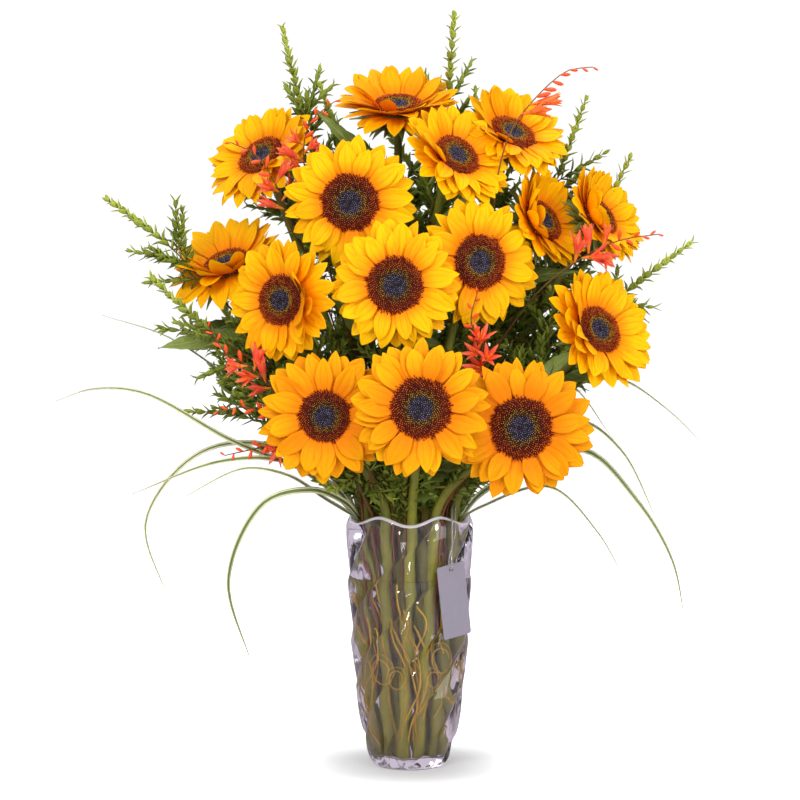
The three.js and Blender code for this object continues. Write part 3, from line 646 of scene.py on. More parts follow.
@dataclass(frozen=True, kw_only=True)
class GrassFinish(Finish):
    """Striped grass: cream lines on green, along the blade."""

    name: str = "striped_blade"
    roughness: float = 0.42
    green: Colour = srgb(92, 112, 50)
    cream: Colour = srgb(214, 216, 174)
    dry: Colour = srgb(160, 144, 92)

    def nodes(self, graph: Graph) -> dict:
        """Adds the stripes and a dry tip.

        Args:
            graph: The material's graph.

        Returns:
            What feeds the shader.
        """
        u, v = graph.uv()
        stripes = graph.effect("fibres", Across=7.0, Along=0.4)
        band = abs(u * 2.0 - 1.0) * 0.7 + (stripes - 0.35)
        colour = graph.mix(graph.rise(band, 0.34, 0.58), self.green, self.cream)
        colour = graph.mix(graph.rise(v, 0.8, 1.0) * 0.6, colour, self.dry)
        return {"Base Color": colour, "Normal": graph.bump(stripes, 0.3, 0.0003)}


@dataclass(frozen=True, kw_only=True)
class ClearFinish(Finish):
    """Glass or water: clear, lightly tinted, and passed by the light of the lamps."""

    roughness: float = 0.0
    tint: Colour
    shade: Colour
    ior: float
    ripple: float = 0.0
    weight: float = 1.0

    def nodes(self, graph: Graph) -> dict:
        """Adds the ripple of the surface, and gives the glass its tint and its clearness.

        Args:
            graph: The material's graph.

        Returns:
            What feeds the shader.
        """
        fed = {"Base Color": self.tint, "IOR": self.ior, "Transmission Weight": self.weight}
        if self.ripple:
            fed["Normal"] = graph.bump(graph.noise(graph.drawn_out(0.6), 48.0, 2.0), 1.0, self.ripple)
        return fed

    def surface(self, graph: Graph) -> Wire:
        """Adds the shader, which lets rays from the lamps straight through."""
        straight = graph.out(0, "ShaderNodeBsdfTransparent", {"Color": self.shade})
        return graph.blend(graph.ray("Is Shadow Ray"), super().surface(graph), straight)


@dataclass(frozen=True, kw_only=True)
class CardFinish(Finish):
    """Grey card: an even satin face with a fine fibre grain."""

    name: str = "grey_card"
    roughness: float = 0.48
    face: Colour = srgb(152, 148, 158)
    fibre: Colour = srgb(139, 135, 145)

    def nodes(self, graph: Graph) -> dict:
        """Adds the grain of the pulp.

        Args:
            graph: The material's graph.

        Returns:
            What feeds the shader.
        """
        grain = graph.noise(graph.place(), 2600.0, 4.0)
        colour = graph.mix(graph.rise(grain, 0.4, 0.7), self.face, self.fibre)
        colour = graph.mix(graph.effect("mottle", Scale=45.0) * 0.25, colour, self.fibre)
        return {"Base Color": colour, "Normal": graph.bump(grain, 0.2, 0.0001)}


@dataclass(frozen=True, kw_only=True)
class ChainFinish(Finish):
    """Nickel-plated beads with a little tarnish between them."""

    name: str = "nickel_bead"
    metallic: float = 1.0
    nickel: Colour = srgb(214, 212, 216)
    tarnish: Colour = srgb(150, 146, 148)

    def nodes(self, graph: Graph) -> dict:
        """Adds the tarnish to colour and gloss.

        Args:
            graph: The material's graph.

        Returns:
            What feeds the shader.
        """
        dull = graph.rise(graph.noise(graph.place(), 1400.0, 3.0), 0.45, 0.8)
        return {"Base Color": graph.mix(dull, self.nickel, self.tarnish), "Roughness": dull * 0.25 + 0.18}


@dataclass(frozen=True, kw_only=True)
class PaperFinish(Finish):
    """The floor's white paper: greyer near the object, glowing away from it, and darker through the glass. The grey
    and the missing glow near the object are a painted contact shadow.
    """

    name: str = "white_paper"
    roughness: float = 0.9
    # painted contact shadow: near is the paper's greyer colour at the object, unlit its missing glow there
    near: Colour = (0.74, 0.74, 0.74, 1)
    far: Colour = (0.94, 0.94, 0.94, 1)
    unlit: Colour = (0, 0, 0, 1)
    glowing: Colour = (0.8, 0.8, 0.8, 1)
    refracted: Colour = (0.66, 0.58, 0.68, 1)
    mirrored: Colour = (0.4, 0.35, 0.42, 1)

    def nodes(self, graph: Graph) -> dict:
        """Adds the colour and the glow, which only the camera's own rays see; both are lower near the object, a
        painted contact shadow.

        Args:
            graph: The material's graph.

        Returns:
            What feeds the shader.
        """
        seen = graph.ray("Is Camera Ray")
        reach = graph.out("Value", "ShaderNodeVectorMath", {0: graph.place()}, operation="LENGTH")
        # painted contact shadow: no glow and greyer paper near the foot, rising with the distance from it
        glow = graph.mix(graph.rise(reach, 0.045, 0.18), self.unlit, self.glowing)
        paper = graph.mix(graph.rise(reach, 0.02, 0.2), self.near, self.far)
        mirror = graph.ray("Is Glossy Ray") - graph.ray("Is Transmission Ray")
        hidden = graph.mix(mirror, self.refracted, self.mirrored)
        return {"Base Color": graph.mix(seen, hidden, paper), "Emission Color": glow, "Emission Strength": seen}


SUNFLOWER_GREEN = LeafFinish(name="sunflower_green", old=srgb(78, 92, 30), young=srgb(150, 168, 86), roughness=0.45,
                             vein=srgb(176, 190, 120), pairs=6.0, slant=1.5, rib=0.09, vein_share=0.5)
MYRTLE_GREEN = LeafFinish(name="myrtle_green", old=srgb(84, 104, 26), young=srgb(186, 200, 76), roughness=0.42,
                          vein=srgb(190, 206, 116), pairs=8.0, slant=2.0, rib=0.16, vein_share=0.35)
SUNFLOWER_STALK = StalkFinish(name="sunflower_stalk", low=srgb(142, 138, 28), high=srgb(116, 130, 46),
                              blush=srgb(164, 158, 50))
MYRTLE_STALK = StalkFinish(name="myrtle_stalk", low=srgb(118, 42, 28), high=srgb(134, 124, 50),
                           blush=srgb(134, 52, 32), high_at=0.7)
CROCOSMIA_STALK = StalkFinish(name="crocosmia_stalk", low=srgb(96, 84, 34), high=srgb(134, 92, 40),
                              blush=srgb(150, 62, 34), high_at=0.7)
TWIG_BARK = StalkFinish(name="twig_bark", low=srgb(186, 148, 8), high=srgb(196, 166, 24), blush=srgb(152, 98, 6),
                        deep=srgb(128, 66, 10), high_at=0.2)
GLASS = ClearFinish(name="vase_glass", tint=(0.93, 0.90, 0.95, 1), shade=(0.92, 0.90, 0.93, 1), ior=1.47,
                    ripple=0.0012)
# painted highlight: the lip's glass lets less light through, so it shows whiter, standing in for the bright line
# along the rim
RIM_HIGHLIGHT_GLASS = replace(GLASS, name="vase_lip_highlight", weight=0.4)
WATER = ClearFinish(name="vase_water", tint=(0.965, 0.965, 0.91, 1), shade=(0.9, 0.9, 0.85, 1), ior=1.333)


# ---- meshes


def grid_blade(across: int, along: int, shape: Callable[[float, float], Vector],
               thickness: float) -> bpy.types.Mesh:
    """Makes a thin closed blade from a grid.

    Args:
        across: Faces from side to side.
        along: Faces from foot to tip.
        shape: Gives the place of each point from its side, -1 to 1, and its share of the way to the tip.
        thickness: The blade's thickness.

    Returns:
        The blade's mesh.
    """
    bm = bmesh.new()
    bm.loops.layers.uv.new("UVMap")
    bmesh.ops.create_grid(bm, x_segments=across, y_segments=along, size=0.5, calc_uvs=True)
    for vertex in bm.verts:
        vertex.co = shape(vertex.co.x * 2, vertex.co.y + 0.5)
    bmesh.ops.solidify(bm, geom=bm.faces[:], thickness=thickness)
    bmesh.ops.recalc_face_normals(bm, faces=bm.faces[:])
    return mesh_from(bm)


def data_of(name: str, bm: bmesh.types.BMesh) -> bpy.types.Mesh:
    """Turns a bmesh into mesh data.

    Args:
        name: The mesh data's name.
        bm: The bmesh, which is freed.

    Returns:
        The mesh data.
    """
    mesh = bpy.data.meshes.new(name)
    bm.to_mesh(mesh)
    bm.free()
    return mesh


def mesh_from(bm: bmesh.types.BMesh) -> bpy.types.Mesh:
    """Turns a bmesh into smooth mesh data that can carry a tint, an age and a rise.

    Args:
        bm: The bmesh, which is freed.

    Returns:
        The mesh data. Its rise goes from 0 at its lowest point to 1 at its highest.
    """
    for face in bm.faces:
        face.smooth = True
    if not bm.loops.layers.uv:
        bm.loops.layers.uv.new("UVMap")
    low = min(vertex.co.z for vertex in bm.verts)
    high = max(vertex.co.z for vertex in bm.verts)
    rises = [(vertex.co.z - low) / max(high - low, 1e-6) for vertex in bm.verts]
    mesh = data_of("shape", bm)
    for name in ("tint", "age", "rise"):
        mesh.attributes.new(name, "FLOAT", "POINT")
    mesh.attributes["rise"].data.foreach_set("value", rises)
    return mesh


def tube(line: Sequence[Vector], radii: Sequence[float], sides: int) -> bpy.types.Mesh:
    """Makes a closed tube along a line.

    Args:
        line: The points of its middle.
        radii: Its radius at each point.
        sides: How many sides it has.

    Returns:
        The tube's mesh.
    """
    bm = bmesh.new()
    frames = [place @ Matrix.Scale(radius, 4) for place, radius in zip(frames_along(line), radii)]
    bmesh.ops.create_circle(bm, cap_ends=True, segments=sides, radius=1.0, matrix=frames[0])
    edges = bm.edges[:]
    for last, place in zip(frames, frames[1:]):
        grown = bmesh.ops.extrude_edge_only(bm, edges=edges)["geom"]
        ring = [item for item in grown if isinstance(item, bmesh.types.BMVert)]
        members = set(ring)
        edges = [e for e in grown if isinstance(e, bmesh.types.BMEdge) and all(v in members for v in e.verts)]
        bmesh.ops.transform(bm, matrix=place @ last.inverted(), verts=ring)
    bmesh.ops.contextual_create(bm, geom=edges)
    bmesh.ops.recalc_face_normals(bm, faces=bm.faces[:])
    return mesh_from(bm)


def tapered(line: Sequence[Vector], foot: float, tip: float, sides: int) -> bpy.types.Mesh:
    """Makes a tube whose radius goes evenly from its foot to its tip."""
    last = len(line) - 1
    return tube(line, [mix(foot, tip, i / last) for i in range(last + 1)], sides)


def spun(profile: Sequence[tuple[float, float]], steps: int) -> bmesh.types.BMesh:
    """Spins a profile round Z into a closed surface.

    Args:
        profile: Radius and height of each point, from one end on the axis to the other.
        steps: How many steps a full turn has.

    Returns:
        The bmesh.
    """
    bm = bmesh.new()
    points = [bm.verts.new((radius, 0, height)) for radius, height in profile]
    edges = [bm.edges.new(pair) for pair in zip(points, points[1:])]
    bmesh.ops.spin(bm, geom=points + edges, cent=(0, 0, 0), axis=(0, 0, 1), dvec=(0, 0, 0), angle=TAU,
                   steps=steps, use_merge=True, use_duplicate=False)
    bmesh.ops.remove_doubles(bm, verts=bm.verts[:], dist=1e-4)
    bmesh.ops.recalc_face_normals(bm, faces=bm.faces[:])
    return bm


class Sheaf:
    """Shapes gathered into one piece, each with its own tint and age."""

    def __init__(self, name: str, materials: Sequence[bpy.types.Material]) -> None:
        """Starts an empty piece with its materials in order."""
        self.name = name
        self.materials = materials
        self.bm = bmesh.new()

    def add(self, shape: bpy.types.Mesh, place: Matrix | None = None, tint: float = 0.5, age: float = 0.5,
            material: int = 0) -> None:
        """Adds a copy of a shape.

        Args:
            shape: The mesh to copy.
            place: Where the copy goes.
            tint: Its own value for small differences of colour, 0 to 1.
            age: Its own value from old to young, or from the middle of a disc to its edge.
            material: Which of the piece's materials it has.
        """
        copy = shape.copy()
        if place is not None:
            copy.transform(place)
        count = len(copy.vertices)
        copy.attributes["tint"].data.foreach_set("value", [tint] * count)
        copy.attributes["age"].data.foreach_set("value", [age] * count)
        copy.polygons.foreach_set("material_index", [material] * len(copy.polygons))
        self.bm.from_mesh(copy)
        bpy.data.meshes.remove(copy)

    def stalk(self, line: Sequence[Vector], foot: float, tip: float, sides: int, tint: float) -> None:
        """Adds a tapered tube in the piece's second material, which is that of its stalks."""
        self.add(tapered(line, foot, tip, sides), None, tint, material=1)

    def finish(self, slot: Slot, nodes: Sequence[str], levels: int = 0) -> bpy.types.Object:
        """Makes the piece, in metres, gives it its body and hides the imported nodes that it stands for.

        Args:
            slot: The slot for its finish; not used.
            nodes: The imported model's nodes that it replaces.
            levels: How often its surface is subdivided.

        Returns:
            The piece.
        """
        self.bm.transform(Matrix.Scale(MM, 4))
        mesh = data_of(self.name, self.bm)
        for material in self.materials:
            mesh.materials.append(material)
        piece = linked(self.name, mesh)
        if levels:
            rounding = piece.modifiers.new("rounding", "SUBSURF")
            rounding.levels = levels
            rounding.render_levels = levels
        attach(piece, BODY)
        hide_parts(*nodes)
        log.info("%s: %d faces", self.name, len(mesh.polygons))
        return piece


# ---- vase and water


@dataclass
class Vase:
    """A clear tumbler that widens upwards, with soft ridges that climb to the right and a waved rim."""

    height: float = 258
    foot_radius: float = 36
    foot_flat: float = 33
    widening: float = 28
    widen_height: float = 75
    wall: float = 5.5
    floor: float = 13
    ridges: int = 6
    ridge_height: float = 2.7
    band_height: float = 1.1
    band_step: float = 54
    ridge_rise: float = 342
    rim_wave: float = 4
    rim_wave_start: float = 198
    rows: int = 96
    steps: int = 168
    lip_from: float = 0.994
    flutes: int = 15
    flute_height: float = 0.7
    flute_fade: tuple[float, float] = (14, 34)
    glass: ClearFinish = GLASS
    lip_glass: ClearFinish = RIM_HIGHLIGHT_GLASS

    def radius(self, height: float) -> float:
        """Gives the outer radius at a height, without the ridges."""
        return self.foot_radius + self.widening * (1 - math.exp(-height / self.widen_height))

    def outline(self) -> list[tuple[float, float]]:
        """Draws half of the section: foot, outer wall, round lip, inner wall and floor.

        Returns:
            Radius and height of each point.
        """
        lip = self.wall / 2
        outer = [(self.foot_flat * share, 0.0 if share > 0.5 else 0.8) for share in (0, 0.5, 0.8, 0.95, 1)]
        outer += [(self.foot_flat + 1.6, 0.5), (self.radius(2), 2.0)]
        outer += [(self.radius(h), h) for h in self.heights(4, self.height - lip, self.rows)]
        middle = self.radius(self.height) - lip
        arc = [(middle + lip * math.cos(a), self.height - lip + lip * math.sin(a))
               for a in (math.pi * k / 6 for k in range(1, 6))]
        inner = [(self.radius(h) - self.wall, h) for h in self.heights(self.height - lip, self.floor + 4, 30)]
        bowl = self.radius(self.floor) - self.wall
        bottom = [(bowl - 1.2, self.floor + 1.2), (bowl - 4, self.floor), (bowl * 0.5, self.floor), (0, self.floor)]
        return outer + arc + inner + bottom

    @staticmethod
    def heights(low: float, high: float, count: int) -> list[float]:
        """Gives evenly spaced heights, ends included."""
        return [mix(low, high, k / (count - 1)) for k in range(count)]

    def shaped(self, place: Vector) -> Vector:
        """Moves a point of the plain tumbler onto the ridges and the waved rim.

        Args:
            place: The point on the plain tumbler.

        Returns:
            Its new place.
        """
        reach = math.hypot(place.x, place.y)
        if reach < 1e-6:
            return place
        column = math.atan2(place.y, place.x)
        angle = column + TAU * place.z / self.ridge_rise
        outside = smoothstep(reach, self.radius(place.z) - self.wall * 0.75, self.radius(place.z) - 1)
        crest = 2 * abs(math.cos(column * self.ridges / 2)) - 1
        depth = self.ridge_height * (0.85 + 0.35 * math.sin(2 * angle + place.z / 30))
        band = 1 - 2 * abs(math.sin(math.pi * (place.z - 28 + 7 * math.sin(2 * column)) / self.band_step))
        flute = self.flute_height * math.cos(self.flutes * column + place.z * 0.3)
        flute *= 1 - smoothstep(place.z, *self.flute_fade)
        reach += (depth * crest + self.band_height * band + flute) * smoothstep(place.z, 0, 7) * outside
        wave = self.rim_wave * math.cos(self.ridges * angle) * smoothstep(place.z, self.rim_wave_start, self.height)
        return polar(angle, reach, 0, place.z + wave)

    def build(self) -> None:
        """Builds the vase. The faces of its lip are whiter than the rest, a painted highlight along the rim."""
        mesh = mesh_from(spun(self.outline(), self.steps))
        for vertex in mesh.vertices:
            vertex.co = self.shaped(vertex.co)
        sheaf = Sheaf("glass_tumbler", [self.glass.material(), self.lip_glass.material()])
        sheaf.add(mesh)
        glass = sheaf.finish(Slot.VASE_GLASS, ["vase"]).data
        rise = glass.attributes["rise"].data
        for face in glass.polygons:
            # painted highlight: the faces at the very top get the whiter lip glass
            face.material_index = int(max(rise[i].value for i in face.vertices) > self.lip_from)


@dataclass
class Water:
    """The water: it wets the glass all round and climbs a little at its edge."""

    vase: Vase
    level: float = 195
    wetting: float = 0.25
    climb: float = 1.4
    steps: int = 96
    clear: ClearFinish = WATER

    def build(self) -> None:
        """Builds the water."""
        vase = self.vase
        inner = [(vase.radius(h) - vase.wall + self.wetting, h)
                 for h in vase.heights(vase.floor + 4, self.level, 24)]
        edge = inner[-1][0]
        bowl = vase.radius(vase.floor) - vase.wall
        low = vase.floor - 0.2
        bottom = [(0, low), (bowl * 0.5, low), (bowl - 4, low), (bowl - 1.1, vase.floor + 1.1)]
        top = [(edge, self.level + self.climb), (edge - 1.2, self.level + 0.5), (edge - 3.5, self.level),
               (edge * 0.5, self.level), (0, self.level)]
        sheaf = Sheaf("vase_water", [self.clear.material()])
        sheaf.add(mesh_from(spun(bottom + inner + top, self.steps)))
        sheaf.finish(Slot.WATER, ["water"])


# ---- stems


@dataclass
class Bunch:
    """How the stems stand in the vase: drawn together and turned towards the foot."""

    neck_height: float = 258
    foot_height: float = 14
    thin_foot_height: float = 78
    gather: float = 0.56
    turn: float = math.radians(-17)

    def at(self, neck: Neck, height: float) -> Vector:
        """Gives the place of a stem in the vase.

        Args:
            neck: Its place at the mouth.
            height: The height at which its place is asked.

        Returns:
            The place.
        """
        top = Vector((*neck, self.neck_height))
        foot = Matrix.Rotation(self.turn, 3, "Z") @ Vector((*neck, 0)) * self.gather
        foot.z = self.foot_height
        return foot.lerp(top, (height - self.foot_height) / (self.neck_height - self.foot_height))

    def trunk(self, neck: Neck, fork: Vector, sheaf: Sheaf) -> list[Vector]:
        """Adds the lower part of a thin stem, from its end in the water to its fork.

        Args:
            neck: Its place at the mouth.
            fork: Where it forks.
            sheaf: The piece that it is added to.

        Returns:
            Its points from the mouth to the fork.
        """
        low = self.at(neck, self.thin_foot_height)
        mouth = self.at(neck, self.neck_height)
        middle = mouth.lerp(fork, 0.45)
        middle.z = mix(mouth.z, fork.z, 0.55)
        line = spline([mouth, middle, fork], 14)
        sheaf.stalk([low, low.lerp(mouth, 0.5), *line], 2.0, 1.6, 6, 0.5)
        return line


# ---- sunflowers


@dataclass(frozen=True)
class Head:
    """Where a flower head is, the way it faces, and its own sizes."""

    centre: Place
    faces: Place
    disc: float
    petal: float
    flare: float
    neck: Neck
    cup: float = 0
    hood: tuple[float, float] = (0, 0)
    warmth: float = 0.2
    fold: float = 0.3

    def hooded(self, angle: float) -> bool:
        """Tells whether the petals at an angle stand up and lean over the disc."""
        low, high = self.hood
        return (angle - low) % TAU < high - low

    def frame(self) -> Matrix:
        """Gives the head's frame: X to its right, Y up and Z out, seen from its front."""
        out = Vector(self.faces).normalized()
        right = UP.cross(out).normalized()
        return frame_at(raised(self.centre), right, out.cross(right), out)


HEADS = [
    Head((-12, 40, 670), (0, -0.46, 0.89), 26, 39, 10, (-4, 42), 12, (3.5, 5.9), 0.7, 0.42),
    Head((-152, 32, 618), (-0.45, -0.62, 0.64), 26, 36, 8, (-38, 24), 8, (-1.2, -0.4), 0.2),
    Head((-60, -60, 569), (0, -1, 0.03), 29, 36, 0, (-18, 0), 0, (0, 0), 0.0),
    Head((46, -30, 616), (0.46, -0.68, 0.57), 25, 35, 4, (10, 24), 10, (2.7, 3.6), 0.0),
    Head((105, 21, 641), (0.36, -0.58, 0.73), 25, 35, 8, (36, 24), 12, (2.9, 3.9), 0.25),
    Head((135, -2, 551), (0.68, -0.58, 0.45), 24, 32, 6, (30, 0), 18, (2.5, 3.8), 0.0),
    Head((195, 23, 556), (0.68, -0.5, 0.53), 23, 33, 8, (50, 0), 16, (2.5, 3.7), 0.05),
    Head((-188, 18, 507), (-0.29, -0.5, 0.81), 25, 38, 14, (-50, 0), 8, (3.6, 5.9), 0.15, 0.6),
    Head((-126, -82, 472), (-0.5, -0.86, 0.05), 26, 35, 0, (-44, -24), 5, (-0.8, 0.6), 0.4, 0.6),
    Head((-15, -102, 487), (0, -1, 0.05), 28, 35, 0, (-8, -24), 0, (0, 0), 0.1),
    Head((68, -60, 510), (0.37, -0.93, 0.03), 28, 37, 0, (16, -24), 0, (0, 0), 0.15),
    Head((188, -50, 441), (0.54, -0.74, 0.4), 26, 37, 4, (44, -24), 12, (2.6, 3.9), 0.15),
    Head((-84, -106, 358), (0, -1, 0.05), 26, 38, 0, (-24, -44), 3, (0, 0), 1.2),
    Head((10, -138, 368), (0, -1, 0.05), 30, 37, 0, (2, -44), 0, (0, 0), 0.9),
    Head((109, -108, 347), (0, -1, 0.05), 31, 39, 0, (26, -44), 0, (0, 0), 1.25),
]


@dataclass(frozen=True)
class PetalLayer:
    """One layer of petals: how many, how long beside the head's petals, and how far to the front."""

    count: int
    size: float
    offset: float
    arch: float
    turned: float


@dataclass
class PetalCrown:
    """The petals of one head, in three layers."""

    head: Head
    number: int
    width: float = 20.5
    thickness: float = 0.45
    layers: tuple[PetalLayer, ...] = (
        PetalLayer(19, 1.05, -1.9, 0.16, 0.0),
        PetalLayer(16, 1.0, 0.2, 0.26, 0.45),
        PetalLayer(12, 0.88, 1.9, 0.36, 0.2),
    )
    inset: float = 5
    across: int = 6
    along: int = 9

    def petal(self, layer: PetalLayer, angle: float, draw: random.Random) -> bpy.types.Mesh:
        """Makes one petal.

        Args:
            layer: The layer it belongs to.
            angle: Its place round the disc.
            draw: The head's random numbers.

        Returns:
            The petal's mesh, in the head's frame.
        """
        length = (self.head.petal + self.inset) * layer.size * draw.uniform(0.9, 1.06)
        half = self.width / 2 * draw.uniform(0.88, 1.12)
        bend = math.copysign(1 + 3 * draw.random(), layer.offset) + self.head.cup
        bend += self.head.flare * math.sin(angle)
        slope = math.asin(max(-0.9, min(0.9, bend / length)))
        hood = draw.uniform(0.4, 1.6) * self.head.fold if layer.offset > 0 and self.head.hooded(angle) else 0
        arch = layer.arch * draw.uniform(0.5, 1.5)
        curl = draw.uniform(-0.5, 0.4)
        cup = draw.uniform(-0.05, 0.34)
        twist = draw.uniform(-0.3, 0.3)
        sway = draw.uniform(-0.14, 0.14)
        point = draw.uniform(3.2, 7.0)
        tip = draw.uniform(0.65, 1.05)
        fold = draw.uniform(0.35, 0.75)
        line = [(self.head.disc - self.inset, layer.offset)]
        steps = self.along * 2
        for k in range(steps):
            share = (k + 0.5) / steps
            pitch = slope * (0.4 + 1.2 * share) + arch * (1 - 2 * share)
            pitch += curl * share ** 4
            pitch += hood * (1 + share) / 1.3
            reach, lift = line[-1]
            line.append((reach + math.cos(pitch) * length / steps, lift + math.sin(pitch) * length / steps))

        def shape(side: float, share: float) -> Vector:
            """Places a point of the petal.

            Args:
                side: Across, -1 to 1.
                share: Along, 0 to 1.

            Returns:
                The point.
            """
            reach, lift = line[round(share * steps)]
            wide = min(1.0, 0.46 + 1.3 * share) * max(0.02, 1 - share ** point) ** tip
            cross = side * half * wide
            swell = math.sin(math.pi * share) ** 0.7
            height = cup * half * side * side * swell + fold * math.cos(3 * math.pi * side) * swell
            turn = twist * share
            step = cross * math.cos(turn) + sway * length * share * share
            rise = lift + height + cross * math.sin(turn)
            return polar(angle, reach, step, rise)

        return grid_blade(self.across, self.along, shape, self.thickness)

    def build(self, petal_material: bpy.types.Material) -> None:
        """Builds the crown.

        Args:
            petal_material: The petals' finish.
        """
        draw = random.Random(self.number * 101)
        place = self.head.frame()
        sheaf = Sheaf(f"petal_crown_{self.number:02d}", [petal_material])
        for layer in self.layers:
            for k in range(layer.count):
                angle = TAU * (k + layer.turned + draw.uniform(-0.28, 0.28)) / layer.count
                mesh = self.petal(layer, angle, draw)
                sheaf.add(mesh, place, draw.random(), self.head.warmth)
                bpy.data.meshes.remove(mesh)
        sheaf.finish(Slot.PETAL, [f"sunflower_{self.number:02d}_petals"], levels=1)


class Floret(Enum):
    """The kinds of floret on a seed disc, from the middle outwards."""

    BUD = "bud"
    OPEN = "open"
    SPIKE = "spike"


@dataclass
class SeedDisc:
    """The seed disc of one head: a low dome with a sunken middle, covered in florets."""

    head: Head
    number: int
    florets: int = 800
    bottom: float = 0.9
    profile: tuple[tuple[float, float], ...] = ((0, 3.0), (0.38, 4.0), (0.7, 5.0), (0.9, 4.0), (1.0, 1.6))

    def lift(self, share: float) -> float:
        """Gives the dome's height at a share of its radius."""
        for (low, a), (high, b) in zip(self.profile, self.profile[1:]):
            if share <= high:
                return mix(a, b, smoothstep(share, low, high))
        return self.profile[-1][1]

    @staticmethod
    def floret_shapes() -> dict[Floret, bpy.types.Mesh]:
        """Makes the three florets: a round bud, an open cup and a leaning spike.

        Returns:
            A mesh for each kind.
        """
        sizes = {
            Floret.BUD: (5, 0.75, 0.4, 1.3),
            Floret.OPEN: (5, 0.4, 0.62, 2.1),
            Floret.SPIKE: (4, 0.9, 0.42, 2.6),
        }
        shapes = {}
        for kind, (sides, low, high, height) in sizes.items():
            bm = bmesh.new()
            bmesh.ops.create_cone(bm, cap_ends=True, segments=sides, radius1=low, radius2=high, depth=height)
            bmesh.ops.translate(bm, vec=(0, 0, height / 2), verts=bm.verts[:])
            if kind is Floret.OPEN:
                top = [face for face in bm.faces if face.calc_center_median().z > height * 0.9]
                bmesh.ops.inset_region(bm, faces=top, thickness=0.25, depth=-0.5)
            shapes[kind] = mesh_from(bm)
        return shapes

    def build(self, shapes: dict[Floret, bpy.types.Mesh], material: bpy.types.Material) -> None:
        """Builds the disc.

        Args:
            shapes: The florets' meshes.
            material: The florets' finish.
        """
        draw = random.Random(self.number * 211)
        place = self.head.frame() @ Matrix.Translation((0, 0, self.bottom))
        radius = self.head.disc
        sheaf = Sheaf(f"seed_disc_{self.number:02d}", [material])
        rings = [(radius * share, self.lift(share) - 0.6) for share in (0, 0.2, 0.38, 0.55, 0.7, 0.82, 0.92, 0.98)]
        dome = [(0, 0), (radius * 0.9, 0), *reversed(rings)]
        sheaf.add(mesh_from(spun(dome, 28)), place, 0.0, 0.0)
        for k in range(self.florets):
            share = math.sqrt((k + 0.5) / self.florets) * 1.02
            angle = k * GOLDEN_ANGLE
            kind = Floret.BUD if share < 0.43 else Floret.OPEN if share < 0.55 else Floret.SPIKE
            edge = smoothstep(share, 0.88, 1.0)
            lean = smoothstep(share, 0.5, 1.0) * 0.8 + draw.uniform(-0.15, 0.15)
            size = draw.uniform(0.85, 1.15) * radius / 28 * (1 + edge * draw.uniform(0.0, 0.5))
            seat = (radius * share * 0.985, 0, self.lift(share) - 0.9)
            spot = Matrix.Rotation(angle, 4, "Z") @ Matrix.Translation(seat)
            turn = Matrix.Rotation(lean, 4, "Y") @ Matrix.Rotation(draw.uniform(0, TAU), 4, "Z")
            sheaf.add(shapes[kind], place @ spot @ turn @ Matrix.Scale(size, 4), draw.random(), min(1.0, share))
        sheaf.finish(Slot.SEED_DISC, [f"sunflower_{self.number:02d}_disc"])


@dataclass(frozen=True)
class LeafPlace:
    """A leaf: the head whose stem it grows from, how far up, where its tip lies, and its width."""

    stem: int
    along: float
    tip: Place
    width: float


LEAVES = [
    LeafPlace(1, 0.75, (-96, 30, 667), 34),
    LeafPlace(8, 0.7, (-258, 0, 422), 32),
    LeafPlace(7, 0.8, (246, 5, 448), 26),
    LeafPlace(12, 0.55, (169, -70, 425), 26),
    LeafPlace(15, 0.6, (150, -50, 418), 26),
    LeafPlace(4, 0.7, (76, -12, 590), 26),
    LeafPlace(6, 0.75, (172, -14, 500), 26),
    LeafPlace(2, 0.65, (-120, 0, 545), 26),
    LeafPlace(3, 0.45, (-98, -30, 502), 26),
    LeafPlace(1, 0.45, (40, 95, 560), 40),
    LeafPlace(2, 0.5, (-120, 95, 470), 44),
    LeafPlace(5, 0.5, (120, 90, 480), 44),
    LeafPlace(8, 0.4, (-150, 75, 380), 40),
    LeafPlace(7, 0.4, (160, 70, 390), 40),
]


